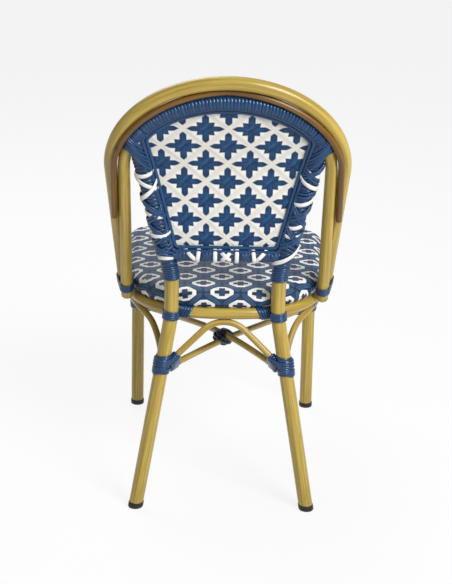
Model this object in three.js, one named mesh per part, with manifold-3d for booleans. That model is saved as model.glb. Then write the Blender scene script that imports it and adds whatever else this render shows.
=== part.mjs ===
import * as THREE from 'three';
import { mergeVertices } from 'three/addons/utils/BufferGeometryUtils.js';
import Module from 'manifold-3d';

const wasm = await Module();
wasm.setup();

// A bistro chair: bent tube frame, woven seat and back, joints bound with cane.
// Millimetres, +Z up, the sitter faces -Y, origin on the floor under the middle.

// Fits
const fit_gap = 0.3;
const cut_overrun = 40;

// Whole chair
const overall_height = 888;
const seat_ring_height = 400;

// Tube diameters
const leg_diameter = 28.5;
const ring_diameter = 23.5;
const outer_hoop_diameter = 26;
const inner_hoop_diameter = 23.5;
const filler_diameter = 12;
const rod_diameter = 13;
const rail_diameter = 20;
const crossbar_diameter = 14;

// Seat ring, seen from above: one round end behind, one squarer end in front
const ring_half_width = 198;
const ring_front_flare = 20;
const ring_widest_y = -42;
const ring_rear_depth = 230;
const ring_front_depth = 213;
const ring_rear_fullness = 2.6;
const ring_front_fullness = 8;

// Where the legs and the hoop stand against the ring, as angles from its widest line
const rear_leg_station = 67.3;
const front_leg_station = -57;
const hoop_station = 30;

// Legs below the ring: how far each foot stands out and back from its place at the ring
const rear_foot_out = 69;
const rear_foot_back = 48;
const front_foot_out = 3;
const front_foot_ahead = 1;
const front_leg_rise = 14;
const knee_softness = 9;

// Stiles above the ring
const stile_bend_height = 487;
const stile_spread_share = 0.258;
const stile_softness = 8;
const stile_top_overrun = 0.5;
const shoulder_height = 695;
const shoulder_softness = 16;

// Hoops: the outer one leans further and its ends lie in front of the inner one's
const hoop_half_width = 222.5;
const hoop_half_width_at_ring = 203;
const inner_hoop_half_width = 196.5;
const hoop_shoulder_height = 700;
const hoop_apex_y = 274;
const hoop_end_lead = 32.2;
const outer_hoop_end_height = 424;
const inner_hoop_end_height = 408;
const filler_end_angle = 2.15;

// Domed plugs in the open tube ends
const inner_plug_rise = 9;
const outer_plug_rise = 7;
const leg_plug_rise = 5;
const plug_aim_share = 0.98;

// Glides
const glide_wall = 0.8;
const glide_sole = 5;
const glide_height = 12;

// Cane strands, flat in section
const strand_fit = 0.5;
const strand_thickness = 2.2;
const top_strand_width = 14;
const lace_strand_width = 7;
const lash_strand_width = 5.2;
const least_strand_gap = 0.4;
const top_wrap_turns = 16;
const lacing_pitch = 26.8;
const collar_turns = 4;
const rail_turns = 6;
const hoop_lash_turns = 2;
const centre_lash_turns = 3;

// Woven back: the collars and the foot of the lacing are set from its rail, the lacing's top and
// the gussets from where a stile meets the inner hoop
const rail_height = 526;
const panel_thickness = 4;
const welt_diameter = 6;
const collar_bottom_drop = 48;
const collar_top_drop = 22;
const lacing_bottom_rise = 26;
const lacing_top_drop = 75.5;
const rail_wrap_half = 72;
const gusset_skin = 3;
const gusset_web_thickness = 17;
const gusset_low_drop = 66.5;
const gusset_notch_drop = 20;
const wrap_end_lead_angle = 0.168;
const gusset_start_lead_angle = 0.048;
const gusset_end_trail_angle = 0.162;

// Woven seat
const weave_thickness = 4;
const weave_height = 36;
const weave_crown = 6;
const weave_bulge = 6.8;
const weave_inset = 9;
const weave_foot_share = 0.2;
const weave_edge_share = -0.2;
const weave_bulge_low_share = 0.25;
const weave_bulge_high_share = 0.65;
const weave_edge_height_share = 0.88;
const crossbar_reach = 95;

// Arches, crossed rods and the lashings that bind them to the legs
const rear_lash_height = 306;
const front_lash_height = 272;
const leg_lash_height = 40;
const ring_lash_height = 17;
const ring_lash_reach = 7;
const lash_skin = 3;
const lash_reach = 30;
const arch_foot_drop = 19;
const side_arch_foot_drop = 8;
const rear_arch_top_half = 24.5;
const front_arch_top_half = 72;
const rear_arch_bend = 24;
const front_arch_bend = 50;
const side_arch_flare = 1.75;
const side_arch_start = 42;
const side_arch_finish = -28;
const rod_foot_drop = 21;
const crossing_y = 34;
const crossing_height = 291;
const hoop_lash_low_height = 422;
const hoop_lash_high_height = 435;
const centre_lash_half_length = 9;
const centre_lash_half_span = 7;

// Facets
const tube_sides = 10;
const rod_sides = 8;
const turn_steps = 10;
const hoop_steps = 42;
const filler_steps = 36;
const rear_leg_points = 48;
const rear_leg_steps = 24;
const ring_steps = 36;
const plug_steps = 2;
const panel_columns = 12;
const panel_rows = 10;
const welt_sides = 6;
const welt_steps = 44;
const welt_run_points = 8;
const gusset_points = 2;
const weave_steps = 34;
const crown_shares = [0.8, 0.42];
const arch_steps = 12;
const limb_shares = [0, 0.4, 0.8];
const arch_run_steps = 6;
const angle_probe = 0.01;
const height_probe = 1;
const ring_probe = 0.5;
const ring_samples = 720;
const halvings = 40;
const nearest_turn_share = 0.6;
const rear_middle = 90;
const front_middle = -90;

const leg_radius = leg_diameter / 2;
const ring_radius = ring_diameter / 2;
const outer_radius = outer_hoop_diameter / 2;
const inner_radius = inner_hoop_diameter / 2;
const filler_radius = filler_diameter / 2;
const rod_radius = rod_diameter / 2;
const rail_radius = rail_diameter / 2;
const left = 1;
const right = -1;

const vec = (x, y, z) => new THREE.Vector3(x, y, z);

// Materials
const finish = (color, roughness, metalness) => ({ color, roughness, metalness });
const bamboo_paint = finish(0xc2a45c, 0.42, 0.1);
const brown_paint = finish(0xa9813f, 0.45, 0.1);
const blue_cane = finish(0x2b4a7c, 0.4, 0);
const blue_weave = finish(0x3b5582, 0.5, 0);
const white_weave = finish(0xe6e6de, 0.5, 0);
const black_plastic = finish(0x1b1b1c, 0.55, 0);

const chair = new THREE.Group();

function addNode(name, geometry, look) {
  const mesh = new THREE.Mesh(geometry, new THREE.MeshStandardMaterial(look));
  mesh.name = name;
  chair.add(mesh);
  return mesh;
}

// Turns a geometry into welded positions with every face pointing out
function closedGeometry(source) {
  const bare = source.index ? source.clone() : source;
  bare.deleteAttribute('normal');
  bare.deleteAttribute('uv');
  const geometry = mergeVertices(bare);
  const position = geometry.attributes.position;
  const index = geometry.index.array;
  const a = vec();
  const b = vec();
  const c = vec();
  let volume = 0;
  for (let i = 0; i < index.length; i += 3) {
    a.fromBufferAttribute(position, index[i]);
    b.fromBufferAttribute(position, index[i + 1]);
    c.fromBufferAttribute(position, index[i + 2]);
    volume += a.dot(b.cross(c));
  }
  if (volume < 0) {
    for (let i = 0; i < index.length; i += 3) {
      [index[i], index[i + 1]] = [index[i + 1], index[i]];
    }
  }
  return geometry;
}

// Joins equal rings of points into one closed skin, capped or returning to its start
function loft(sections, closed = false) {
  const count = sections[0].length;
  const points = sections.flat();
  const faces = [];
  const spans = closed ? sections.length : sections.length - 1;
  for (let s = 0; s < spans; s += 1) {
    const here = s * count;
    const next = ((s + 1) % sections.length) * count;
    for (let k = 0; k < count; k += 1) {
      const turn = (k + 1) % count;
      faces.push(here + k, next + k, next + turn, here + k, next + turn, here + turn);
    }
  }
  if (!closed) {
    const last = (sections.length - 1) * count;
    for (let k = 1; k < count - 1; k += 1) {
      faces.push(0, k, k + 1, last, last + k + 1, last + k);
    }
  }
  const geometry = new THREE.BufferGeometry().setFromPoints(points);
  geometry.setIndex(faces);
  return closedGeometry(geometry);
}

function toSolid(geometry) {
  const vertProperties = geometry.attributes.position.array;
  const triVerts = new Uint32Array(geometry.index.array);
  return new wasm.Manifold(new wasm.Mesh({ numProp: 3, vertProperties, triVerts }));
}

function fromSolid(solid) {
  const mesh = solid.getMesh();
  const geometry = new THREE.BufferGeometry();
  geometry.setAttribute('position', new THREE.BufferAttribute(mesh.vertProperties, 3));
  geometry.setIndex(Array.from(mesh.triVerts));
  return closedGeometry(geometry);
}

// Takes the tools away from a body and keeps its largest piece
function carve(body, tools) {
  let solid = toSolid(body);
  for (const tool of tools) {
    solid = solid.subtract(toSolid(tool));
  }
  const pieces = solid.decompose().sort((p, q) => q.volume() - p.volume());
  return fromSolid(pieces[0]);
}

function fuse(bodies) {
  let solid = toSolid(bodies[0]);
  for (const body of bodies.slice(1)) {
    solid = solid.add(toSolid(body));
  }
  return fromSolid(solid);
}

function roundShape(radius, sides) {
  const shape = new THREE.Shape();
  for (let k = 0; k < sides; k += 1) {
    const angle = (Math.PI * (2 * k + 1)) / sides;
    const x = radius * Math.cos(angle);
    const y = radius * Math.sin(angle);
    if (k === 0) {
      shape.moveTo(x, y);
    } else {
      shape.lineTo(x, y);
    }
  }
  shape.closePath();
  return shape;
}

function tube(path, radius, sides, steps) {
  const options = { steps, extrudePath: path, bevelEnabled: false };
  return closedGeometry(new THREE.ExtrudeGeometry(roundShape(radius, sides), options));
}

function smoothPath(points) {
  return new THREE.CatmullRomCurve3(points, false, 'centripetal');
}

// A block that takes away everything below a height
function slabBelow(height) {
  const block = new THREE.BoxGeometry(overall_height, overall_height, cut_overrun);
  block.translate(0, 0, height - cut_overrun / 2);
  return closedGeometry(block);
}

// A bend that is straight on both sides and rounded over a softness between them
const softRamp = (distance, softness) => softness * Math.log1p(Math.exp(distance / softness));

// Seat ring centre line: an angle of 0 is its widest point, 90 the middle of the back
function ringPoint(degrees) {
  const angle = THREE.MathUtils.degToRad(degrees);
  const rear = Math.sin(angle) >= 0;
  const power = 2 / (rear ? ring_rear_fullness : ring_front_fullness);
  const across = Math.abs(Math.cos(angle)) ** power;
  const along = Math.abs(Math.sin(angle)) ** power;
  const half_width = ring_half_width + (rear ? 0 : ring_front_flare * along ** 2);
  const x = Math.sign(Math.cos(angle)) * half_width * across;
  const y = ring_widest_y + (rear ? ring_rear_depth : -ring_front_depth) * along;
  return vec(x, y, seat_ring_height);
}

// Direction square to the ring, pointing away from the seat
function ringNormal(degrees) {
  const before = ringPoint(degrees - ring_probe);
  const after = ringPoint(degrees + ring_probe);
  const run = after.sub(before).normalize();
  return vec(run.y, -run.x, 0);
}

// A tube's centre where it stands against the outside of the ring
function besideRing(degrees, radius) {
  return ringPoint(degrees).addScaledVector(ringNormal(degrees), ring_radius + radius + fit_gap);
}

// Rings of plan points evenly spaced along the seat ring
function evenRingAngles(count) {
  const samples = [];
  let length = 0;
  let last = ringPoint(0);
  for (let k = 0; k <= ring_samples; k += 1) {
    const degrees = (360 * k) / ring_samples;
    const point = ringPoint(degrees);
    length += point.distanceTo(last);
    samples.push({ degrees, length });
    last = point;
  }
  const angles = [];
  for (let k = 0; k < count; k += 1) {
    const wanted = (length * k) / count;
    const after = samples.findIndex((sample) => sample.length >= wanted);
    angles.push(samples[after].degrees);
  }
  return angles;
}

// Rear legs and stiles
const rear_leg_at_ring = besideRing(rear_leg_station, leg_radius);
const outer_apex = vec(0, hoop_apex_y, overall_height - outer_radius);
const inner_end = besideRing(hoop_station, inner_radius);
const outer_end_y = inner_end.y - hoop_end_lead;
const hoop_rise = outer_apex.z - seat_ring_height;
const outer_lean_share = (outer_apex.y - outer_end_y) / hoop_rise;
const wrap_radius = inner_radius + strand_fit + strand_thickness;
const wrap_reach = wrap_radius / Math.cos(Math.PI / turn_steps);
const apex_spacing = outer_radius + filler_diameter + wrap_reach + 2 * fit_gap;
const up_outer_plane = vec(0, outer_lean_share, 1).normalize();
const inner_apex = outer_apex.clone().addScaledVector(up_outer_plane, -apex_spacing);
const inner_lean_share = (inner_apex.y - inner_end.y) / (inner_apex.z - seat_ring_height);

const innerPlaneY = (z) => inner_end.y + inner_lean_share * (z - seat_ring_height);
const outerPlaneY = (z) => outer_end_y + outer_lean_share * (z - seat_ring_height);

// Depth of the back's middle surface at a height: upright low down, with the hoop above
const shoulder_y = innerPlaneY(shoulder_height);
const stile_rise = shoulder_height - seat_ring_height;
const stile_lean_share = (shoulder_y - rear_leg_at_ring.y) / stile_rise;
function backY(z) {
  const above = softRamp(z - shoulder_height, shoulder_softness);
  const lower = rear_leg_at_ring.y + stile_lean_share * (z - seat_ring_height);
  return lower + (inner_lean_share - stile_lean_share) * above;
}

const rear_out_share = rear_foot_out / seat_ring_height;
const rear_back_share = rear_foot_back / seat_ring_height + stile_lean_share;

function rearLegPoint(side, z) {
  const below = softRamp(seat_ring_height - z, knee_softness);
  const above = softRamp(z - stile_bend_height, stile_softness);
  const x = rear_leg_at_ring.x + rear_out_share * below + stile_spread_share * above;
  return vec(side * x, backY(z) + rear_back_share * below, z);
}

// Hoops: a half ellipse on two straight sides, each in its own leaning plane
function hoopPoint(angle, half_width, half_width_low, apex, planeY, end_height) {
  if (Math.abs(angle) <= Math.PI / 2) {
    const z = hoop_shoulder_height + (apex.z - hoop_shoulder_height) * Math.cos(angle);
    return vec(half_width * Math.sin(angle), planeY(z), z);
  }
  const share = (Math.abs(angle) - Math.PI / 2) / (Math.PI / 2);
  const z = hoop_shoulder_height + (end_height - hoop_shoulder_height) * share;
  const drop_share = (hoop_shoulder_height - z) / (hoop_shoulder_height - seat_ring_height);
  const x = half_width + (half_width_low - half_width) * drop_share;
  return vec(Math.sign(angle) * x, planeY(z), z);
}

const outerHoopPoint = (angle) => hoopPoint(
  angle, hoop_half_width, hoop_half_width_at_ring, outer_apex, outerPlaneY, outer_hoop_end_height,
);
const innerHoopPoint = (angle) => hoopPoint(
  angle, inner_hoop_half_width, inner_end.x, inner_apex, innerPlaneY, inner_hoop_end_height,
);

// The filler rod lies in the groove behind the two hoops and touches both
function fillerPoint(angle) {
  const outer = outerHoopPoint(angle);
  const inner = innerHoopPoint(angle);
  const from_outer = outer_radius + filler_radius + fit_gap;
  const from_inner = wrap_reach + filler_radius + fit_gap;
  const across = inner.clone().sub(outer);
  const span = across.length();
  across.normalize();
  const ahead = outerHoopPoint(angle + angle_probe);
  const along = ahead.sub(outerHoopPoint(angle - angle_probe)).normalize();
  const rearward = along.cross(across).normalize();
  if (rearward.y < 0) {
    rearward.negate();
  }
  const step = (span * span + from_outer * from_outer - from_inner * from_inner) / (2 * span);
  const lift = Math.sqrt(Math.max(from_outer * from_outer - step * step, 0));
  return outer.addScaledVector(across, step).addScaledVector(rearward, lift);
}

// The hoop angle at which a stile's centre line meets the inner hoop's
function meetingAngle() {
  let low = 0;
  let high = Math.PI;
  for (let k = 0; k < halvings; k += 1) {
    const middle = (low + high) / 2;
    const point = innerHoopPoint(middle);
    if (point.x < rearLegPoint(left, point.z).x) {
      low = middle;
    } else {
      high = middle;
    }
  }
  return low;
}

const meeting_angle = meetingAngle();
const meeting_height = innerHoopPoint(meeting_angle).z;

function evenSteps(low, high, count) {
  return Array.from({ length: count + 1 }, (_, k) => low + ((high - low) * k) / count);
}

function hoopPath(pointAt, limit, steps) {
  return smoothPath(evenSteps(-limit, limit, steps).map(pointAt));
}

// The seat ring is one tube that returns to its own start
const seat_ring_angles = evenRingAngles(ring_steps);

function ringTube(angles, radius, closed) {
  const sections = angles.map((degrees) => {
    const centre = ringPoint(degrees);
    const outward = ringNormal(degrees);
    return Array.from({ length: tube_sides }, (_, k) => {
      const turn = (Math.PI * (2 * k + 1)) / tube_sides;
      const point = centre.clone().addScaledVector(outward, radius * Math.cos(turn));
      return point.setZ(centre.z + radius * Math.sin(turn));
    });
  });
  return loft(sections, closed);
}

// A tube's radius grown by the fit, used to cut the pieces that meet it
const clearOf = (radius) => radius + fit_gap / Math.cos(Math.PI / tube_sides);

// Legs: the rear ones are one tube each from the floor to the inner hoop
const leg_blank_foot = -cut_overrun / 2;
const stile_top_height = meeting_height + stile_top_overrun;

function rearLegTube(side, radius) {
  const heights = evenSteps(leg_blank_foot, stile_top_height, rear_leg_points);
  const path = smoothPath(heights.map((z) => rearLegPoint(side, z)));
  return tube(path, radius, tube_sides, rear_leg_steps);
}

const front_leg_at_ring = besideRing(front_leg_station, leg_radius);
const front_leg_top = seat_ring_height + front_leg_rise;

function frontLegPoint(side, z) {
  const drop_share = (seat_ring_height - z) / seat_ring_height;
  const x = front_leg_at_ring.x + front_foot_out * drop_share;
  return vec(side * x, front_leg_at_ring.y - front_foot_ahead * drop_share, z);
}

function frontLegTube(side, radius) {
  const path = new THREE.LineCurve3(
    frontLegPoint(side, leg_blank_foot), frontLegPoint(side, front_leg_top),
  );
  return tube(path, radius, tube_sides, 1);
}

function hoopTube(pointAt, radius, sides, steps) {
  return tube(hoopPath(pointAt, Math.PI, steps * 2), radius, sides, steps);
}

const outerHoopTube = (radius) => hoopTube(outerHoopPoint, radius, tube_sides, hoop_steps);
const innerHoopTube = (radius) => hoopTube(innerHoopPoint, radius, tube_sides, hoop_steps);
const fillerTube = (radius) => tube(
  hoopPath(fillerPoint, filler_end_angle, hoop_steps), radius, rod_sides, filler_steps,
);

const hoopCuts = () => [
  innerHoopTube(clearOf(inner_radius)),
  outerHoopTube(clearOf(outer_radius)),
  fillerTube(clearOf(filler_radius)),
];

function addFrame() {
  const floor_cut = slabBelow(glide_sole + fit_gap);
  const hoop_cuts = hoopCuts();
  for (const [side, word] of [[left, 'left'], [right, 'right']]) {
    const rear = carve(rearLegTube(side, leg_radius), [floor_cut, ...hoop_cuts]);
    addNode(`rear_leg_${word}`, rear, bamboo_paint);
    const front = carve(frontLegTube(side, leg_radius), [floor_cut]);
    addNode(`front_leg_${word}`, front, bamboo_paint);
  }
  addNode('seat_ring', ringTube(seat_ring_angles, ring_radius, true), bamboo_paint);
  addNode('outer_hoop', outerHoopTube(outer_radius), bamboo_paint);
  addNode('inner_hoop', innerHoopTube(inner_radius), bamboo_paint);
  addNode('hoop_filler_rod', fillerTube(filler_radius), brown_paint);
}

// Glides: a plastic cup over each foot, flat where it stands
function addGlides() {
  const below_floor = slabBelow(0);
  const below_foot = slabBelow(glide_sole);
  const feet = [
    ['rear', rearLegPoint, rearLegTube],
    ['front', frontLegPoint, frontLegTube],
  ];
  for (const [place, pointAt, legTube] of feet) {
    for (const [side, word] of [[left, 'left'], [right, 'right']]) {
      const path = new THREE.LineCurve3(pointAt(side, leg_blank_foot), pointAt(side, glide_height));
      const cup = tube(path, leg_radius + fit_gap + glide_wall, tube_sides, 1);
      const foot = carve(legTube(side, clearOf(leg_radius)), [below_foot]);
      addNode(`${place}_glide_${word}`, carve(cup, [below_floor, foot]), black_plastic);
    }
  }
}

// Plugs that close the open ends of the tubes: a domed button a fit away from the end
function domedPlug(end, direction, radius, rise) {
  const profile = [new THREE.Vector2(0, 0), new THREE.Vector2(radius, 0)];
  for (let k = 1; k < plug_steps; k += 1) {
    const angle = (Math.PI / 2) * (k / plug_steps);
    profile.push(new THREE.Vector2(radius * Math.cos(angle), rise * Math.sin(angle)));
  }
  profile.push(new THREE.Vector2(0, rise));
  const dome = new THREE.LatheGeometry(profile, tube_sides);
  const turn = new THREE.Quaternion().setFromUnitVectors(vec(0, 1, 0), direction);
  dome.applyQuaternion(turn);
  const place = end.clone().addScaledVector(direction, fit_gap);
  dome.translate(place.x, place.y, place.z);
  return closedGeometry(dome);
}

function addPlugs() {
  for (const [side, word] of [[left, 'left'], [right, 'right']]) {
    const ends = [
      ['inner_hoop_plug', innerHoopPoint, inner_radius, inner_plug_rise],
      ['outer_hoop_plug', outerHoopPoint, outer_radius, outer_plug_rise],
    ];
    for (const [name, pointAt, radius, rise] of ends) {
      const end = pointAt(side * Math.PI);
      const direction = end.clone().sub(pointAt(side * Math.PI * plug_aim_share)).normalize();
      addNode(`${name}_${word}`, domedPlug(end, direction, radius, rise), bamboo_paint);
    }
    const top = frontLegPoint(side, front_leg_top);
    const up = top.clone().sub(frontLegPoint(side, seat_ring_height)).normalize();
    addNode(`front_leg_plug_${word}`, domedPlug(top, up, leg_radius, leg_plug_rise), bamboo_paint);
  }
}

// Flat cane strands
function leastGap(sections, per_turn) {
  let least = Infinity;
  for (let i = 0; i < sections.length; i += 1) {
    for (let j = i + Math.ceil(per_turn * nearest_turn_share); j < sections.length; j += 1) {
      for (const p of sections[i]) {
        for (const q of sections[j]) {
          least = Math.min(least, p.distanceTo(q));
        }
      }
    }
  }
  return least;
}

// One unbroken strand wound round an axis, or round two hubs that lie side by side. For a
// share of its length the place function gives both hubs, the directions across and along.
function windStrand(name, turns, width, placeAt) {
  const sections = [];
  const total = turns * turn_steps;
  for (let k = 0; k <= total; k += 1) {
    const place = placeAt(k / total);
    const angle = (2 * Math.PI * k) / turn_steps;
    const slack = 1 / Math.cos(Math.PI / turn_steps);
    const hub = Math.cos(angle) > 0 ? place.far : place.near;
    const out = place.across.clone().multiplyScalar(Math.cos(angle))
      .addScaledVector(place.rise, Math.sin(angle));
    const centre = hub.centre.clone().addScaledVector(out, hub.reach * slack);
    const thick = out.multiplyScalar(strand_thickness / 2);
    const wide = place.along.clone().multiplyScalar(width / 2);
    sections.push([
      centre.clone().add(thick).add(wide),
      centre.clone().sub(thick).add(wide),
      centre.clone().sub(thick).sub(wide),
      centre.clone().add(thick).sub(wide),
    ]);
  }
  const gap = leastGap(sections, turn_steps);
  console.log(`${name} least gap ${gap.toFixed(2)}`);
  if (gap < least_strand_gap) {
    console.log(`${name} winds too close to itself`);
  }
  return loft(sections);
}

// Directions across a curve that stay level with the back's depth
function placeOnCurve(pointAt, t, probe, reach) {
  const centre = pointAt(t);
  const along = pointAt(t + probe).sub(pointAt(t - probe)).normalize();
  const across = vec(0, 1, 0).cross(along).normalize();
  const rise = along.clone().cross(across).normalize();
  const hub = { centre, reach };
  return { near: hub, far: hub, across, rise, along };
}

const strandReach = (radius) => radius + strand_fit + strand_thickness / 2;

function addBackWindings() {
  const wrap_end_angle = meeting_angle - wrap_end_lead_angle;
  const collar_bottom_height = rail_height - collar_bottom_drop;
  const collar_top_height = rail_height - collar_top_drop;
  const lacing_bottom_height = rail_height + lacing_bottom_rise;
  const lacing_top_height = meeting_height - lacing_top_drop;
  const lacing_turns = Math.round((lacing_top_height - lacing_bottom_height) / lacing_pitch);
  const top_wrap = windStrand('top_wrap', top_wrap_turns, top_strand_width, (share) => {
    const angle = wrap_end_angle * (2 * share - 1);
    return placeOnCurve(innerHoopPoint, angle, angle_probe, strandReach(inner_radius));
  });
  addNode('top_wrap', top_wrap, blue_cane);
  for (const [side, word] of [[left, 'left'], [right, 'right']]) {
    const stileAt = (z) => rearLegPoint(side, z);
    const wraps = [
      ['stile_collar', collar_turns, collar_bottom_height, collar_top_height, lash_strand_width],
      ['stile_lacing', lacing_turns, lacing_bottom_height, lacing_top_height, lace_strand_width],
    ];
    for (const [name, turns, low, high, width] of wraps) {
      const strand = windStrand(`${name}_${word}`, turns, width, (share) => (
        placeOnCurve(stileAt, low + (high - low) * share, height_probe, strandReach(leg_radius))
      ));
      addNode(`${name}_${word}`, strand, blue_cane);
    }
  }
  const railAt = (x) => vec(x, backY(rail_height), rail_height);
  const rail_wrap = windStrand('rail_lacing', rail_turns, lace_strand_width, (share) => {
    const x = rail_wrap_half * (2 * share - 1);
    const hub = { centre: railAt(x), reach: strandReach(rail_radius) };
    return { near: hub, far: hub, across: vec(0, 1, 0), rise: vec(0, 0, 1), along: vec(1, 0, 0) };
  });
  addNode('rail_lacing', rail_wrap, white_weave);
}

// Bottom rail of the back, let in between the stiles
function addRail() {
  const y = backY(rail_height);
  const reach = rearLegPoint(left, rail_height).x;
  const path = new THREE.LineCurve3(vec(-reach, y, rail_height), vec(reach, y, rail_height));
  const stiles = [left, right].map((side) => rearLegTube(side, clearOf(leg_radius)));
  addNode('back_bottom_rail', carve(tube(path, rail_radius, rod_sides, 1), stiles), bamboo_paint);
}

// Woven back: a thin sheet inside the stiles, the rail and the hoop
const lace_reach = (strandReach(leg_radius) + strand_thickness / 2) / Math.cos(Math.PI / turn_steps);
const panel_side_clear = (lace_reach + fit_gap) * Math.hypot(1, stile_spread_share);
const rail_lace_reach = (strandReach(rail_radius) + strand_thickness / 2) / Math.cos(Math.PI / turn_steps);
const panel_bottom = rail_height + rail_lace_reach + fit_gap;
const panel_top_clear = wrap_reach + strand_thickness / 2 + fit_gap;
const panelSideX = (z) => rearLegPoint(left, z).x - panel_side_clear;

// A point inside the hoop, in the hoop's own plane
function insideHoop(angle, clear) {
  const point = innerHoopPoint(angle);
  const along = innerHoopPoint(angle + angle_probe).sub(innerHoopPoint(angle - angle_probe));
  const plane_normal = vec(0, -1, inner_lean_share);
  const inward = along.cross(plane_normal).normalize();
  if (inward.z > 0) {
    inward.negate();
  }
  return point.addScaledVector(inward, clear);
}

// The hoop angle where the sheet's top edge meets its side
function panelCornerAngle(clear_top, clear_side) {
  let low = 0;
  let high = Math.PI / 2;
  for (let k = 0; k < halvings; k += 1) {
    const middle = (low + high) / 2;
    const point = insideHoop(middle, clear_top);
    if (point.x < panelSideX(point.z) - clear_side) {
      low = middle;
    } else {
      high = middle;
    }
  }
  return low;
}

// A place on the back's outline plan: across from -1 to 1, up from 0 to 1. The sides keep
// their distance from the stiles, bent or straight.
function panelPlan(across, up, margin) {
  const corner = panelCornerAngle(panel_top_clear + margin, margin);
  const top = insideHoop(across * corner, panel_top_clear + margin);
  const low = panel_bottom + margin;
  const z = low + (top.z - low) * up;
  const corner_z = insideHoop(corner, panel_top_clear + margin).z;
  const low_side = panelSideX(low);
  const side_run = (panelSideX(corner_z) - low_side) / (corner_z - low);
  const side_bow = panelSideX(z) - low_side - side_run * (z - low);
  const low_x = across * (low_side - margin);
  return vec(low_x + (top.x - low_x) * up + across * side_bow, 0, z);
}

function addPanel() {
  const face = (side, across, up) => {
    const point = panelPlan(across, up, 0);
    return point.setY(backY(point.z) + (side * panel_thickness) / 2);
  };
  const sections = evenSteps(-1, 1, panel_columns).map((across) => {
    const front = evenSteps(0, 1, panel_rows).map((up) => face(-1, across, up));
    const rear = evenSteps(1, 0, panel_rows).map((up) => face(1, across, up));
    return [...front, ...rear];
  });
  addNode('back_panel', stripLoft(sections), white_weave);
}

// Joins the sheet's rings of points and closes both side edges with strips
function stripLoft(sections) {
  const count = sections[0].length;
  const half = count / 2;
  const points = sections.flat();
  const faces = [];
  for (let s = 0; s < sections.length - 1; s += 1) {
    for (let k = 0; k < count; k += 1) {
      const here = s * count;
      const turn = (k + 1) % count;
      faces.push(here + k, here + count + k, here + count + turn);
      faces.push(here + k, here + count + turn, here + turn);
    }
  }
  const last = (sections.length - 1) * count;
  for (let k = 0; k < half - 1; k += 1) {
    const back = count - 1 - k;
    faces.push(k, k + 1, back, k + 1, back - 1, back);
    faces.push(last + k, last + back, last + k + 1, last + k + 1, last + back, last + back - 1);
  }
  const geometry = new THREE.BufferGeometry().setFromPoints(points);
  geometry.setIndex(faces);
  return closedGeometry(geometry);
}

// The outline that a welt follows, a little inside the edge of the sheet
function weltCentres(margin) {
  const corners = [
    ...evenSteps(-1, 1, welt_run_points).map((across) => [across, 1]),
    ...evenSteps(1, 0, welt_run_points).slice(1).map((up) => [1, up]),
    ...evenSteps(1, -1, welt_run_points).slice(1).map((across) => [across, 0]),
    ...evenSteps(0, 1, welt_run_points).slice(1, -1).map((up) => [-1, up]),
  ];
  const points = corners.map(([across, up]) => panelPlan(across, up, margin));
  const path = new THREE.CatmullRomCurve3(points, true, 'centripetal');
  return path.getSpacedPoints(welt_steps).slice(0, -1);
}

// Welts: a round piping on each face of the sheet, all round near its edge
function addWelts() {
  const margin = welt_diameter / 2;
  const centres = weltCentres(margin);
  const lift = panel_thickness / 2 + fit_gap + margin;
  for (const [face, word] of [[1, 'rear'], [-1, 'front']]) {
    const sections = centres.map((centre, k) => {
      const before = centres[(k + centres.length - 1) % centres.length];
      const after = centres[(k + 1) % centres.length];
      const along = after.clone().sub(before).normalize();
      const out = vec(along.z, 0, -along.x);
      return Array.from({ length: welt_sides }, (_, j) => {
        const turn = (2 * Math.PI * j) / welt_sides;
        const point = centre.clone().addScaledVector(out, margin * Math.cos(turn));
        return point.setY(backY(centre.z) + face * lift + margin * Math.sin(turn));
      });
    });
    addNode(`back_welt_${word}`, loft(sections, true), blue_cane);
  }
}

// Gussets: cane bound over the joint of stile and hoop, with a web across the notch
function addGussets() {
  const reach = lace_reach - strand_thickness / 2;
  const cuts = hoopCuts();
  const gusset_start_angle = meeting_angle - gusset_start_lead_angle;
  const gusset_end_angle = meeting_angle + gusset_end_trail_angle;
  const gusset_low_height = meeting_height - gusset_low_drop;
  for (const [side, word] of [[left, 'left'], [right, 'right']]) {
    const hoop_angles = evenSteps(gusset_start_angle, gusset_end_angle, gusset_points);
    const hoop_path = smoothPath(hoop_angles.map((angle) => innerHoopPoint(side * angle)));
    const hoop_skin = tube(hoop_path, inner_radius + fit_gap + gusset_skin, tube_sides, gusset_points);
    const stile_heights = evenSteps(gusset_low_height, stile_top_height, gusset_points);
    const stile_path = smoothPath(stile_heights.map((z) => rearLegPoint(side, z)));
    const stile_skin = tube(stile_path, reach, tube_sides, gusset_points);
    const web_hoop = innerHoopPoint(side * gusset_end_angle);
    const web_stile = rearLegPoint(side, web_hoop.z - gusset_notch_drop);
    const web_top = innerHoopPoint(side * gusset_start_angle);
    const outline = [web_hoop, web_stile, web_top];
    const front = outline.map((p) => vec(p.x, backY(p.z) - gusset_web_thickness / 2, p.z));
    const rear = outline.map((p) => vec(p.x, backY(p.z) + gusset_web_thickness / 2, p.z));
    const web = loft([front, rear]);
    const solid = fuse([hoop_skin, stile_skin, web]);
    const stile_cut = rearLegTube(side, clearOf(leg_radius));
    addNode(`gusset_${word}`, carve(solid, [...cuts, stile_cut]), blue_cane);
  }
}

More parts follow.
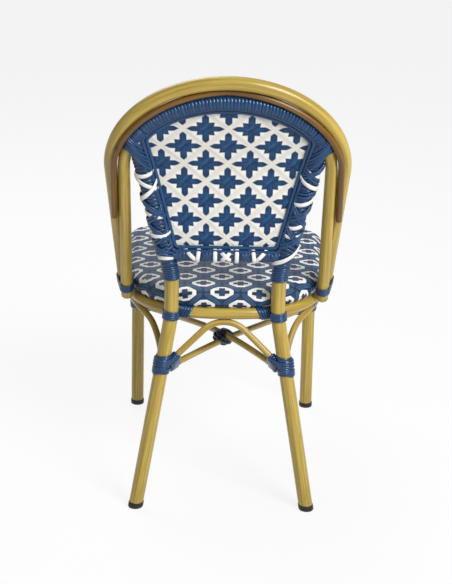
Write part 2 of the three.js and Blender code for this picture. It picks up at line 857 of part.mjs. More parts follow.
// Woven seat: a shell that bulges over the ring, open underneath
function addSeat(lash_cuts) {
  const middle = vec(0, ring_widest_y, 0);
  const foot = seat_ring_height + ring_radius + fit_gap;
  const skirt = [
    [weave_foot_share, 0],
    [1, weave_bulge_low_share],
    [1, weave_bulge_high_share],
    [weave_edge_share, weave_edge_height_share],
    [-weave_inset / weave_bulge, 1],
  ];
  const weave_angles = evenRingAngles(weave_steps);
  const ringAt = (offset, height, share) => weave_angles.map((degrees) => {
    const edge = ringPoint(degrees).addScaledVector(ringNormal(degrees), offset).setZ(0);
    const point = middle.clone().lerp(edge, share);
    return point.setZ(foot + height);
  });
  const outer = skirt.map(([o, h]) => ringAt(o * weave_bulge, h * weave_height, 1));
  const inner = skirt.map(([o, h], k) => {
    const drop = k === 0 ? 0 : weave_thickness * h;
    return ringAt(o * weave_bulge - weave_thickness, h * weave_height - drop, 1);
  });
  const crown = crown_shares.map((share) => [share, weave_height + weave_crown * (1 - share * share)]);
  const outer_top = crown.map(([share, h]) => ringAt(-weave_inset, h, share));
  const inner_inset = weave_inset + weave_thickness;
  const inner_top = crown.map(([share, h]) => ringAt(-inner_inset, h - weave_thickness, share));
  const rings = [...inner_top.reverse(), ...inner.reverse(), ...outer, ...outer_top];
  addNode('seat_weave', carve(loft(rings), lash_cuts), blue_weave);
}

// Cross bars under the weave, let in between the two sides of the ring
function addCrossbars() {
  const ring_cut = ringTube(seat_ring_angles, clearOf(ring_radius), true);
  const reach = ring_half_width;
  for (const [step, word] of [[crossbar_reach, 'rear'], [-crossbar_reach, 'front']]) {
    const y = ring_widest_y + step;
    const path = new THREE.LineCurve3(vec(-reach, y, seat_ring_height), vec(reach, y, seat_ring_height));
    const bar = tube(path, crossbar_diameter / 2, rod_sides, 1);
    addNode(`seat_crossbar_${word}`, carve(bar, [ring_cut]), bamboo_paint);
  }
}

// Under the seat
const under_ring = seat_ring_height - ring_radius - fit_gap - rod_radius;

// A path of straight runs whose corners are rounded over a bend length
function bentPath(points, bend) {
  const path = new THREE.CurvePath();
  let start = points[0];
  for (let k = 1; k < points.length - 1; k += 1) {
    const corner = points[k];
    const before = corner.clone().addScaledVector(points[k - 1].clone().sub(corner).normalize(), bend);
    const after = corner.clone().addScaledVector(points[k + 1].clone().sub(corner).normalize(), bend);
    path.add(new THREE.LineCurve3(start, before));
    path.add(new THREE.QuadraticBezierCurve3(before, corner, after));
    start = after;
  }
  path.add(new THREE.LineCurve3(start, points[points.length - 1]));
  return path;
}

function archPoints(footPoint, foot_height, top_half, top_y) {
  const foot = footPoint(left, foot_height);
  const top = vec(top_half, top_y, under_ring);
  return [foot, top, top.clone().setX(-top_half), foot.clone().setX(-foot.x)];
}

const rear_arch_foot_height = rear_lash_height - arch_foot_drop;
const rear_arch_y = ringPoint(rear_middle).y;
const rear_arch_path = bentPath(
  archPoints(rearLegPoint, rear_arch_foot_height, rear_arch_top_half, rear_arch_y),
  rear_arch_bend,
);
const front_arch_foot_height = front_lash_height - arch_foot_drop;
const front_arch_y = ringPoint(front_middle).y;
const front_arch_path = bentPath(
  archPoints(frontLegPoint, front_arch_foot_height, front_arch_top_half, front_arch_y),
  front_arch_bend,
);

// Side arches rise from both legs and run along under the ring between them
function sideArchPath(side) {
  const rear_foot = rearLegPoint(left, rear_lash_height - side_arch_foot_drop);
  const front_foot = frontLegPoint(left, front_lash_height - side_arch_foot_drop);
  const run = evenSteps(side_arch_start, side_arch_finish, arch_run_steps)
    .map((degrees) => ringPoint(degrees).setZ(under_ring));
  const limb = (foot, top) => limb_shares.map((share) => {
    const x = foot.x + (top.x - foot.x) * share ** side_arch_flare;
    return foot.clone().lerp(top, share).setX(x);
  });
  const points = [
    ...limb(rear_foot, run[0]),
    ...run.slice(1, -1),
    ...limb(front_foot, run[run.length - 1]).reverse(),
  ];
  return smoothPath(points.map((point) => vec(side * point.x, point.y, point.z)));
}

const side_arch_paths = new Map([left, right].map((side) => [side, sideArchPath(side)]));

// Crossed rods: each from a rear leg to the opposite front leg, one over the other
function crossRodPath(side) {
  const rear = rearLegPoint(side, rear_lash_height - rod_foot_drop);
  const front = frontLegPoint(-side, front_lash_height - rod_foot_drop);
  const offset = (-side * (rod_diameter + fit_gap)) / 2;
  return smoothPath([rear, vec(0, crossing_y, crossing_height + offset), front]);
}

const cross_rod_paths = new Map([left, right].map((side) => [side, crossRodPath(side)]));
const rodTube = (path, radius) => tube(path, radius, rod_sides, arch_steps);

function addRods() {
  const rear_cuts = [left, right].map((side) => rearLegTube(side, clearOf(leg_radius)));
  const front_cuts = [left, right].map((side) => frontLegTube(side, clearOf(leg_radius)));
  const ring_cut = ringTube(seat_ring_angles, clearOf(ring_radius), true);
  const cuts = [...rear_cuts, ...front_cuts, ring_cut];
  const rods = [
    ['rear_arch', rear_arch_path, bamboo_paint],
    ['front_arch', front_arch_path, bamboo_paint],
    ['side_arch_left', side_arch_paths.get(left), bamboo_paint],
    ['side_arch_right', side_arch_paths.get(right), bamboo_paint],
    ['cross_rod_left', cross_rod_paths.get(left), bamboo_paint],
    ['cross_rod_right', cross_rod_paths.get(right), bamboo_paint],
  ];
  for (const [name, path, look] of rods) {
    addNode(name, carve(rodTube(path, rod_radius), cuts), look);
  }
}

// The first or last stretch of a rod, as long as a lashing reaches along it
function rodFoot(path, at_end) {
  const stretch = lash_reach / path.getLength();
  const shares = evenSteps(0, stretch, 1).map((share) => (at_end ? 1 - share : share));
  return smoothPath(shares.map((share) => path.getPointAt(share)));
}

// Lashings where three rods meet a leg
function addLegLashes() {
  for (const [side, word] of [[left, 'left'], [right, 'right']]) {
    const places = [
      ['rear', rearLegPoint, rearLegTube, rear_lash_height, [
        [rear_arch_path, side === right],
        [side_arch_paths.get(side), false],
        [cross_rod_paths.get(side), false],
      ]],
      ['front', frontLegPoint, frontLegTube, front_lash_height, [
        [front_arch_path, side === right],
        [side_arch_paths.get(side), true],
        [cross_rod_paths.get(-side), true],
      ]],
    ];
    for (const [place, pointAt, legTube, height, feet] of places) {
      const low = pointAt(side, height - leg_lash_height / 2);
      const high = pointAt(side, height + leg_lash_height / 2);
      const sleeve = tube(new THREE.LineCurve3(low, high), leg_radius + lash_skin, tube_sides, 1);
      const socks = feet.map(([path, at_end]) => (
        tube(rodFoot(path, at_end), rod_radius + lash_skin, rod_sides, 1)
      ));
      const cuts = feet.map(([path]) => rodTube(path, clearOf(rod_radius)));
      cuts.push(legTube(side, clearOf(leg_radius)));
      addNode(`${place}_leg_lash_${word}`, carve(fuse([sleeve, ...socks]), cuts), blue_cane);
    }
  }
}

// Lashings that hold the legs to the ring
function ringLashSolid(side, station, grow) {
  const degrees = [station - ring_lash_reach, station + ring_lash_reach];
  const sock = ringTube(degrees, ring_radius + lash_skin + grow, false);
  if (side === right) {
    return flipped(sock);
  }
  return sock;
}

function flipped(source) {
  const geometry = source.clone();
  geometry.scale(-1, 1, 1);
  const index = geometry.index.array;
  for (let i = 0; i < index.length; i += 3) {
    [index[i], index[i + 1]] = [index[i + 1], index[i]];
  }
  return geometry;
}

const ring_stations = [
  ['rear', rear_leg_station, rearLegPoint, rearLegTube],
  ['front', front_leg_station, frontLegPoint, frontLegTube],
];

function addRingLashes() {
  const ring_cut = ringTube(seat_ring_angles, clearOf(ring_radius), true);
  for (const [place, station, pointAt, legTube] of ring_stations) {
    for (const [side, word] of [[left, 'left'], [right, 'right']]) {
      const low = pointAt(side, seat_ring_height - ring_lash_height / 2);
      const high = pointAt(side, seat_ring_height + ring_lash_height / 2);
      const sleeve = tube(new THREE.LineCurve3(low, high), leg_radius + lash_skin, tube_sides, 1);
      const solid = fuse([sleeve, ringLashSolid(side, station, 0)]);
      const cuts = [ring_cut, legTube(side, clearOf(leg_radius))];
      addNode(`${place}_ring_lash_${word}`, carve(solid, cuts), blue_cane);
    }
  }
}

function ringLashCuts() {
  return ring_stations.flatMap(([, station]) => (
    [left, right].map((side) => ringLashSolid(side, station, fit_gap))
  ));
}

// Oval windings: round both hoops near their ends, and round the crossing of the rods
function addOvalLashes() {
  for (const [side, word] of [[left, 'left'], [right, 'right']]) {
    const span = hoop_lash_high_height - hoop_lash_low_height;
    const strand = windStrand(`hoop_end_lash_${word}`, hoop_lash_turns, lash_strand_width, (share) => {
      const z = hoop_lash_low_height + span * share;
      const inner = hoopPlace(innerHoopPoint, inner_hoop_end_height, side, z);
      const inner_ahead = hoopPlace(innerHoopPoint, inner_hoop_end_height, side, z + height_probe);
      const along = inner_ahead.sub(inner).normalize();
      const level = hoopPlace(outerHoopPoint, outer_hoop_end_height, side, z).sub(inner);
      const outer_z = z - level.dot(along) / along.z;
      const outer = hoopPlace(outerHoopPoint, outer_hoop_end_height, side, outer_z);
      const across = outer.clone().sub(inner).normalize();
      return {
        near: { centre: inner, reach: strandReach(inner_radius + fit_gap) },
        far: { centre: outer, reach: strandReach(outer_radius + fit_gap) },
        across,
        rise: along.clone().cross(across),
        along,
      };
    });
    addNode(`hoop_end_lash_${word}`, strand, blue_cane);
  }
  const crossing_reach = strandReach(rod_diameter + fit_gap / 2);
  const centre_lash = windStrand('centre_lash', centre_lash_turns, lash_strand_width, (share) => {
    const y = crossing_y + centre_lash_half_length * (2 * share - 1);
    const hubAt = (x) => ({ centre: vec(x, y, crossing_height), reach: crossing_reach });
    return {
      near: hubAt(-centre_lash_half_span),
      far: hubAt(centre_lash_half_span),
      across: vec(1, 0, 0),
      rise: vec(0, 0, 1),
      along: vec(0, 1, 0),
    };
  });
  addNode('centre_lash', centre_lash, blue_cane);
}

// The hoop's centre at a height on its straight side
function hoopPlace(pointAt, end_height, side, z) {
  const share = (hoop_shoulder_height - z) / (hoop_shoulder_height - end_height);
  return pointAt((side * Math.PI * (1 + share)) / 2);
}

addFrame();
addGlides();
addPlugs();
addSeat(ringLashCuts());
addCrossbars();
addRail();
addPanel();
addWelts();
addBackWindings();
addGussets();
addRods();
addLegLashes();
addRingLashes();
addOvalLashes();

export default chair;
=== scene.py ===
"""A bistro chair of bent tube and woven cane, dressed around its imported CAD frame.

Metres, +Z up, the sitter faces -Y. Every line, plan and station below repeats the CAD part's own.
"""

import bpy
import numpy as np
from mathutils import Matrix


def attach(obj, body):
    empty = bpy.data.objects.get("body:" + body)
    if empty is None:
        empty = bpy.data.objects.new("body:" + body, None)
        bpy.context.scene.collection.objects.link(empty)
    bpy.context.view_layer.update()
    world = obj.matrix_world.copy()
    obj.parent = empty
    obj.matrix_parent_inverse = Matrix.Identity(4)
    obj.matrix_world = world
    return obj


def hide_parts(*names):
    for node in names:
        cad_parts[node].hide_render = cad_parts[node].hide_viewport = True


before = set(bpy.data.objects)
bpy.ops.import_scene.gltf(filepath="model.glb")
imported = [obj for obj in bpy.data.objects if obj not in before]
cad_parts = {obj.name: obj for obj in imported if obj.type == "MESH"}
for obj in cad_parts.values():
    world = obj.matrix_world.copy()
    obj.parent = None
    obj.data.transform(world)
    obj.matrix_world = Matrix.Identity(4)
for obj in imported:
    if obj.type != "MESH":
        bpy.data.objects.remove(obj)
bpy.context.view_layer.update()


# Camera
# The photograph looks at the chair's back from a little above, through a long lens, nearly
# square on. The place and the angles are the ones at which the chair's proportions agree.
camera_place = np.array([0.017, 2.7586, 1.345])
camera_pitch, camera_yaw, camera_roll = np.radians([19.30, -0.42, 1.21])
focal_pixels, image_height, sensor_width = 1382, 584, 36


def stand(name, data, right, up, back, place):
    """Stands a camera or a lamp in the room: its axes and its place are its matrix's columns."""
    axes = np.eye(4)
    axes[:3] = np.column_stack([right, up, back, place])
    thing = bpy.data.objects.new(name, data)
    thing.matrix_world = Matrix(axes.tolist())
    bpy.context.scene.collection.objects.link(thing)
    return thing


ahead = np.array([
    np.sin(camera_yaw) * np.cos(camera_pitch),
    -np.cos(camera_yaw) * np.cos(camera_pitch),
    -np.sin(camera_pitch),
])
level = np.array([-np.cos(camera_yaw), -np.sin(camera_yaw), 0])
above = np.cross(level, ahead)
camera_right = np.cos(camera_roll) * level + np.sin(camera_roll) * above
camera_up = -np.sin(camera_roll) * level + np.cos(camera_roll) * above
camera_data = bpy.data.cameras.new("camera")
camera_data.sensor_width = sensor_width
camera_data.lens = focal_pixels * sensor_width / image_height
bpy.context.scene.camera = stand("camera", camera_data, camera_right, camera_up, -ahead, camera_place)
bpy.context.scene.view_settings.view_transform = "Standard"


# Studio
# A white paper floor under soft light: a pale room all round, one wide lamp above the camera's
# right and a weaker one over the chair's front. The floor keeps the chair's shadow.
class Wire:
    """A shader socket. Each arithmetic operation on it adds one Math node."""

    def __init__(self, tree, socket):
        self.tree, self.socket = tree, socket

    def math(self, operation, *values):
        """One Math node whose inputs are these values in order."""
        node = self.tree.nodes.new("ShaderNodeMath")
        node.operation = operation
        for place, value in zip(node.inputs, values):
            if isinstance(value, Wire):
                self.tree.links.new(value.socket, place)
            else:
                place.default_value = value
        return Wire(self.tree, node.outputs[0])

    def __add__(self, other):
        return self.math("ADD", self, other)

    __radd__ = __add__

    def __sub__(self, other):
        return self.math("SUBTRACT", self, other)

    def __rsub__(self, other):
        return self.math("SUBTRACT", other, self)

    def __mul__(self, other):
        return self.math("MULTIPLY", self, other)

    __rmul__ = __mul__

    def __abs__(self):
        return self.math("ABSOLUTE", self)

    def lower(self, other):
        """The smaller of the two."""
        return self.math("MINIMUM", self, other)

    def higher(self, other):
        """The larger of the two."""
        return self.math("MAXIMUM", self, other)

    def from_whole(self):
        """How far the value is from the nearest whole number, with its sign."""
        return self - self.math("ROUND", self)

    def sine(self):
        """The sine, from an angle in radians."""
        return self.math("SINE", self)

    def step(self, low, high):
        """0 below low and 1 above high, with a smooth rise between; high may lie below low."""
        node = self.tree.nodes.new("ShaderNodeMapRange")
        node.interpolation_type = "SMOOTHSTEP"
        self.tree.links.new(self.socket, node.inputs["Value"])
        first, last, start, end = (low, high, 0, 1) if low < high else (high, low, 1, 0)
        for place, value in (("From Min", first), ("From Max", last), ("To Min", start), ("To Max", end)):
            node.inputs[place].default_value = value
        return Wire(self.tree, node.outputs["Result"])


def screen(red, green, blue):
    """The linear colour of one read off a screen: each share is raised to the screen's curve."""
    shares = (np.array([red, green, blue]) / 255 + 0.055) / 1.055
    return (*(shares ** 2.4).tolist(), 1.0)


class Finish:
    """A material while it is built up: its nodes, its shader and what feeds them."""

    def __init__(self, name, **constants):
        self.material = bpy.data.materials.new(name)
        self.material.use_nodes = True
        self.tree = self.material.node_tree
        self.shader = self.tree.nodes["Principled BSDF"]
        for key, value in constants.items():
            self.shader.inputs[key.replace("_", " ")].default_value = value

    def node(self, kind, settings=None, values=None, output=0):
        """Adds a node of a kind, makes its settings, then fills its sockets by name or place."""
        node = self.tree.nodes.new(kind)
        for key, value in (settings or {}).items():
            setattr(node, key, value)
        for key, value in (values or {}).items():
            if isinstance(value, Wire):
                self.tree.links.new(value.socket, node.inputs[key])
            else:
                node.inputs[key].default_value = value
        return Wire(self.tree, node.outputs[output])

    def coats(self, ground, *coats):
        """A ground colour with others over it, each given as its share and its colour. A colour is
        a wire, or three numbers read off a screen."""
        for share, coat in coats:
            colours = [tint if isinstance(tint, Wire) else screen(*tint) for tint in (ground, coat)]
            values = {0: share, 6: colours[0], 7: colours[1]}
            ground = self.node("ShaderNodeMix", {"data_type": "RGBA"}, values, 2)
        return ground

    def stretched(self, place, stretch):
        """A place with each of its coordinates multiplied by its own number."""
        return self.node("ShaderNodeVectorMath", {"operation": "MULTIPLY"}, {0: place, 1: stretch})

    def noise(self, place, stretch, detail=3.0, roughness=0.55):
        """Soft noise from 0 to 1, read at a place stretched by a number or by one for each axis."""
        if isinstance(stretch, tuple):
            place, stretch = self.stretched(place, stretch), 1.0
        values = {"Vector": place, "Scale": stretch, "Detail": detail, "Roughness": roughness}
        return self.node("ShaderNodeTexNoise", None, values)

    def part(self, vector, place):
        """One of a vector's three coordinates."""
        return self.node("ShaderNodeSeparateXYZ", None, {0: vector}, place)

    def lengths(self):
        """The piece's own UV map."""
        return self.node("ShaderNodeUVMap", {"uv_map": "lengths"})

    def attribute(self, name, output="Fac"):
        """A value that the piece carries at each of its points."""
        return self.node("ShaderNodeAttribute", {"attribute_name": name}, None, output)

    def feed(self, **wires):
        """Links wires to the shader's sockets, named with underscores for spaces."""
        for key, wire in wires.items():
            self.tree.links.new(wire.socket, self.shader.inputs[key.replace("_", " ")])

    def relief(self, height, depth, strength):
        """A bump that stands as high as depth where the height is 1."""
        values = {"Strength": strength, "Distance": depth, "Height": height}
        self.feed(Normal=self.node("ShaderNodeBump", None, values))


floor_size, floor_whiteness = 12.0, 0.86
paper_glow_share = 0.86
room_light, room_mirrored_light = 0.24, 0.25
floor_data = bpy.data.meshes.new("floor")
floor_corners = [(x * floor_size, y * floor_size, 0) for x, y in ((-1, -1), (1, -1), (1, 1), (-1, 1))]
floor_data.from_pydata(floor_corners, [], [(0, 1, 2, 3)])
floor = bpy.data.objects.new("floor", floor_data)
bpy.context.scene.collection.objects.link(floor)

paper = Finish("studio_paper", Roughness=0.9)
paper.shader.inputs["Base Color"].default_value = (floor_whiteness, floor_whiteness, floor_whiteness, 1)
paper_glow = paper.node("ShaderNodeEmission", None, {"Color": (1, 1, 1, 1), "Strength": 1.0})
seen = paper.node("ShaderNodeLightPath", None, None, "Is Camera Ray")
mirrored = paper.node("ShaderNodeLightPath", None, None, "Is Glossy Ray")
paper_mix = paper.node("ShaderNodeMixShader", None, {
    0: seen.higher(mirrored) * paper_glow_share,
    1: Wire(paper.tree, paper.shader.outputs[0]),
    2: paper_glow,
})
paper.tree.links.new(paper_mix.socket, paper.tree.nodes["Material Output"].inputs["Surface"])
floor_data.materials.append(paper.material)

room = bpy.data.worlds.new("room")
bpy.context.scene.world = room
room.use_nodes = True
room_background = room.node_tree.nodes["Background"]
room_path = room.node_tree.nodes.new("ShaderNodeLightPath")
room_seen = Wire(room.node_tree, room_path.outputs["Is Camera Ray"])
room_mirrored = Wire(room.node_tree, room_path.outputs["Is Glossy Ray"])
room_strength = room_seen * (1 - room_light) + room_mirrored * room_mirrored_light + room_light
room.node_tree.links.new(room_strength.socket, room_background.inputs["Strength"])
room_background.inputs["Color"].default_value = (1, 1, 1, 1)


def unit(vectors):
    """Each vector divided by its own length."""
    return vectors / np.maximum(np.linalg.norm(vectors, axis=-1, keepdims=True), 1e-12)


for lamp_name, power, size, place, aim in (
    ("lamp_behind", 116, 1.4, (-1.7, 2.3, 2.5), (0, 0, 0.45)),
    ("lamp_front", 46, 2.0, (0.9, -1.7, 2.6), (0, 0, 0.4)),
):
    lamp_data = bpy.data.lights.new(lamp_name, "AREA")
    lamp_data.energy, lamp_data.size = power, size
    back = unit(np.subtract(place, aim))
    across = unit(np.cross((0, 0, 1), back))
    stand(lamp_name, lamp_data, across, np.cross(back, across), back, place)


# Seat ring
# One aluminium tube bent into a rounded square and welded to itself, painted and lacquered to
# look like golden bamboo: streaks run along it, with a small dark scar here and there.
seat_height, ring_diameter = 0.400, 0.0235
ring_half_width, ring_flare, ring_middle_y = 0.198, 0.020, -0.042
ring_rear_reach, ring_front_reach = 0.230, 0.213
ring_rear_power, ring_front_power = 2.6, 8
fit = 0.0003
x_axis, y_axis, z_axis = np.eye(3)


def soft_ramp(distance, softness):
    """Nearly 0 below 0 and nearly the distance above it: softness times log(1 + e^(d/softness))."""
    return softness * np.logaddexp(0, distance / softness)


def ring_point(degrees):
    """The ring's centre line: a superellipse, squarer in front than behind, that grows wider in
    front by the flare times the square of the share of its way forward."""
    angle = np.radians(degrees)
    rear = np.sin(angle) >= 0
    power = np.where(rear, 2 / ring_rear_power, 2 / ring_front_power)
    across = np.abs(np.cos(angle)) ** power
    along = np.abs(np.sin(angle)) ** power
    half_width = ring_half_width + np.where(rear, 0, ring_flare * along ** 2)
    x = np.sign(np.cos(angle)) * half_width * across
    y = ring_middle_y + np.where(rear, ring_rear_reach, -ring_front_reach) * along
    return np.stack([x, y, np.full_like(x, seat_height)], -1)


def ring_normal(degrees):
    """Square to the ring and away from the seat: the run over one degree, turned by a right angle."""
    run = unit(ring_point(degrees + 0.5) - ring_point(degrees - 0.5))
    return np.stack([run[..., 1], -run[..., 0], np.zeros_like(run[..., 0])], -1)


def lengths_along(line):
    """How far each point of a line is from its start: the running sum of the steps between them."""
    return np.concatenate([[0], np.cumsum(np.linalg.norm(np.diff(line, axis=0), axis=1))])


def evenly(line, count, closed=False):
    """The same line with its points at even distances: coordinates interpolated over its length."""
    line = np.vstack([line, line[:1]]) if closed else line
    lengths = lengths_along(line)
    wanted = np.linspace(0, lengths[-1], count, endpoint=not closed)
    return np.stack([np.interp(wanted, lengths, line[:, k]) for k in range(line.shape[1])], -1)


def carried(line, outward, width, depth, sides, closed):
    """An oval section carried along a line. Around the section the point moves sideways by half
    the width times the cosine and outwards by half the depth times the sine. Gives the grid of
    points, its lengths in metres and its solid coordinates."""
    run = unit(np.roll(line, -1, 0) - np.roll(line, 1, 0) if closed else np.gradient(line, axis=0))
    outward = np.broadcast_to(outward, line.shape)
    outward = unit(outward - run * (outward * run).sum(-1, keepdims=True))
    sideways = np.cross(run, outward)
    turn = 2 * np.pi * np.arange(sides)[None, :, None] / sides
    half_width = np.broadcast_to(width, len(line))[:, None, None] / 2
    half_depth = np.broadcast_to(depth, len(line))[:, None, None] / 2
    aside, out = half_width * np.cos(turn), half_depth * np.sin(turn)
    grid = line[:, None] + sideways[:, None] * aside + outward[:, None] * out
    along = lengths_along(line)
    grain = np.concatenate([aside, out, np.broadcast_to(along[:, None, None], aside.shape)], -1)
    if closed:
        along = np.append(along, along[-1] + np.linalg.norm(line[0] - line[-1]))
    around = (np.max(half_width) + np.max(half_depth)) * np.pi * np.arange(sides + 1) / sides
    return grid, np.stack(np.meshgrid(along, around, indexing="ij"), -1), grain


class Piece:
    """One mesh object of the chair, put together from grids of points that close around."""

    def __init__(self, name):
        self.name, self.count = name, 0
        self.points, self.quads, self.quad_lengths = [], [], []
        self.caps, self.tones, self.grains = [], [], []

    def add(self, grid, lengths, grain=None, closed=False, caps=True, tone=0.5):
        """Adds a grid whose columns close on themselves. Its faces are turned to look away from
        the middle of each row, and its first and last rows are capped unless it is closed."""
        rows, columns = grid.shape[:2]
        index = self.count + np.arange(rows * columns).reshape(rows, columns)
        row = np.arange(rows if closed else rows - 1)[:, None]
        column = np.arange(columns)[None, :]
        after_row, after_column = (row + 1) % rows, (column + 1) % columns
        corners = [(row, column), (after_row, column), (after_row, after_column), (row, after_column)]
        quads = np.stack([index[r, c] for r, c in corners], -1).reshape(-1, 4)
        wrapped = [(row, column), (row + 1, column), (row + 1, column + 1), (row, column + 1)]
        quad_lengths = np.stack([lengths[r, c] for r, c in wrapped], -2).reshape(-1, 4, 2)
        flat = grid.reshape(-1, 3)
        at = flat[quads - self.count]
        slant = np.cross(at[:, 2] - at[:, 0], at[:, 3] - at[:, 1])
        middle = np.repeat(grid[:len(row)].mean(1), columns, 0)
        rims = [index[0], index[-1][::-1]] if caps and not closed else []
        if ((at.mean(1) - middle) * slant).sum() < 0:
            quads, quad_lengths = quads[:, ::-1], quad_lengths[:, ::-1]
            rims = [rim[::-1] for rim in rims]
        self.points.append(flat)
        self.quads.append(quads)
        self.quad_lengths.append(quad_lengths)
        self.caps.extend(rims)
        self.tones.append(np.broadcast_to(tone, rows * columns) if np.ndim(tone) == 0 else np.ravel(tone))
        self.grains.append(np.zeros((rows * columns, 3)) if grain is None else grain.reshape(-1, 3))
        self.count += rows * columns
        return self

    def strand(self, line, outward, width, depth, sides=8, closed=False, tone=0.5):
        """Adds a cane strand that lies flat against what it is wound on."""
        grid, lengths, grain = carried(line, outward, width, depth, sides, closed)
        return self.add(grid, lengths, grain, closed, tone=tone)

    def tube(self, line, outward, diameter, sides=28, closed=False, tone=0.5):
        """Adds a round tube along a line."""
        return self.strand(line, outward, diameter, diameter, sides, closed, tone)

    def turn(self, turn, width, depth, tone):
        """Adds a closed turn of cane, given as its line and its outward directions."""
        return self.strand(*turn, width, depth, 8, True, tone)

    def finish(self, look, slot, *nodes):
        """Makes the mesh with its lengths as UV and its tone and grain as attributes, gives it
        its material and lets it ride on the chair in place of the CAD nodes named."""
        quads = np.concatenate(self.quads)
        mesh = bpy.data.meshes.new(self.name)
        faces = quads.tolist() + [rim.tolist() for rim in self.caps]
        mesh.from_pydata(np.concatenate(self.points).tolist(), [], faces)
        cap_lengths = np.zeros(sum(len(rim) for rim in self.caps) * 2)
        corner_lengths = np.concatenate([np.concatenate(self.quad_lengths).ravel(), cap_lengths])
        mesh.uv_layers.new(name="lengths").data.foreach_set("uv", corner_lengths.astype(np.float32))
        tone = mesh.attributes.new("tone", "FLOAT", "POINT")
        tone.data.foreach_set("value", np.concatenate(self.tones).astype(np.float32))
        grain = mesh.attributes.new("grain", "FLOAT_VECTOR", "POINT")
        grain.data.foreach_set("vector", np.concatenate(self.grains).astype(np.float32).ravel())
        mesh.polygons.foreach_set("use_smooth", np.arange(len(faces)) < len(quads))
        mesh.materials.append(look.material)
        piece = bpy.data.objects.new(self.name, mesh)
        bpy.context.scene.collection.objects.link(piece)
        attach(piece, "root")
        if nodes:
            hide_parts(*nodes)


def bamboo(name, light, dark, streak, scar):
    """Painted bamboo: long streaks of noise from the grain coordinates, patches of a darker gold,
    and a small dark scar wherever a scattered point of a coarse Voronoi pattern meets the wall."""
    look = Finish(name, Coat_Weight=0.35, Coat_Roughness=0.22, Specular_IOR_Level=0.35)
    grain = look.attribute("grain", "Vector")
    fine = look.noise(grain, (1100, 1100, 11), 4.0, 0.6)
    broad = look.noise(grain, (190, 190, 5))
    patches = look.noise(grain, (45, 45, 16), 2.0)
    scar_place = look.stretched(grain, (34, 34, 12))
    scars = look.node("ShaderNodeTexVoronoi", None, {"Vector": scar_place, "Scale": 1.0}).step(0.13, 0.06)
    colour = look.coats(
        light,
        (broad.step(0.32, 0.68), dark),
        (fine.step(0.50, 0.72) * 0.6, streak),
        (patches.step(0.50, 0.78) * 0.5, dark),
        (scars * 0.75, scar),
    )
    look.feed(Base_Color=colour, Roughness=0.30 + fine * 0.16 + scars * 0.2)
    look.relief(fine * 0.5 - scars * 0.8, 0.0003, 0.6)
    return look


golden_bamboo = bamboo("golden_bamboo", (192, 166, 78), (158, 132, 52), (112, 86, 32), (58, 38, 16))
ring_line = evenly(ring_point(np.linspace(0, 360, 6000, endpoint=False)), 300, closed=True)
seat_ring = Piece("seat_ring_tube").tube(ring_line, z_axis, ring_diameter, closed=True)
seat_ring.finish(golden_bamboo, "bamboo_paint", "seat_ring")


# Hoops
# Two tubes bent over the top of the back and down to the sides of the seat ring, the inner one
# under the outer one, with a thin brown rod laid in the groove between them from behind. The
# open lower ends are closed with domed plugs painted the same.
outer_diameter, inner_diameter, filler_diameter = 0.026, 0.0235, 0.012
outer_half_width, outer_low_half_width, inner_half_width = 0.2225, 0.203, 0.1965
hoop_shoulder = 0.700
outer_end_height, inner_end_height = 0.424, 0.408
outer_plug_rise, inner_plug_rise = 0.007, 0.009
hoop_seat_angle, outer_behind_inner = 30, 0.0322
filler_end_angle = 2.15
strand_fit, strand_depth = 0.0005, 0.0022
facet_slack = 1 / np.cos(np.pi / 10)


def beside_ring(degrees, radius):
    """The centre of a tube that stands against the outside of the ring at an angle."""
    return ring_point(degrees) + ring_normal(degrees) * (ring_diameter / 2 + radius + fit)


inner_end = beside_ring(hoop_seat_angle, inner_diameter / 2)
outer_end_y = inner_end[1] - outer_behind_inner
outer_apex = np.array([0, 0.274, 0.875])
outer_lean = (outer_apex[1] - outer_end_y) / (outer_apex[2] - seat_height)
wrap_reach = (inner_diameter / 2 + strand_fit + strand_depth) * facet_slack
apex_spacing = outer_diameter / 2 + filler_diameter + wrap_reach + 2 * fit
inner_apex = outer_apex - apex_spacing * unit(np.array([0, outer_lean, 1]))
inner_lean = (inner_apex[1] - inner_end[1]) / (inner_apex[2] - seat_height)


def hoop_point(angle, half_width, low_width, apex_height, end_height, end_y, lean):
    """A hoop's centre line: above the shoulder height its side is half the width times the sine
    and its height rises with the cosine, below it runs straight to its end. It lies in a plane
    that leans back by a share of the height above the seat."""
    over = np.abs(angle) <= np.pi / 2
    share = np.clip(np.abs(angle) / (np.pi / 2) - 1, 0, None)
    z = np.where(
        over,
        hoop_shoulder + (apex_height - hoop_shoulder) * np.cos(angle),
        hoop_shoulder + (end_height - hoop_shoulder) * share,
    )
    drop = (hoop_shoulder - z) / (hoop_shoulder - seat_height)
    straight = np.sign(angle) * (half_width + (low_width - half_width) * drop)
    x = np.where(over, half_width * np.sin(angle), straight)
    return np.stack([x, end_y + lean * (z - seat_height), z], -1)


def outer_hoop_point(angle):
    """The outer hoop at an angle from its top."""
    return hoop_point(
        angle, outer_half_width, outer_low_half_width, outer_apex[2], outer_end_height, outer_end_y,
        outer_lean)


def inner_hoop_point(angle):
    """The inner hoop at an angle from its top."""
    return hoop_point(
        angle, inner_half_width, inner_end[0], inner_apex[2], inner_end_height, inner_end[1], inner_lean)


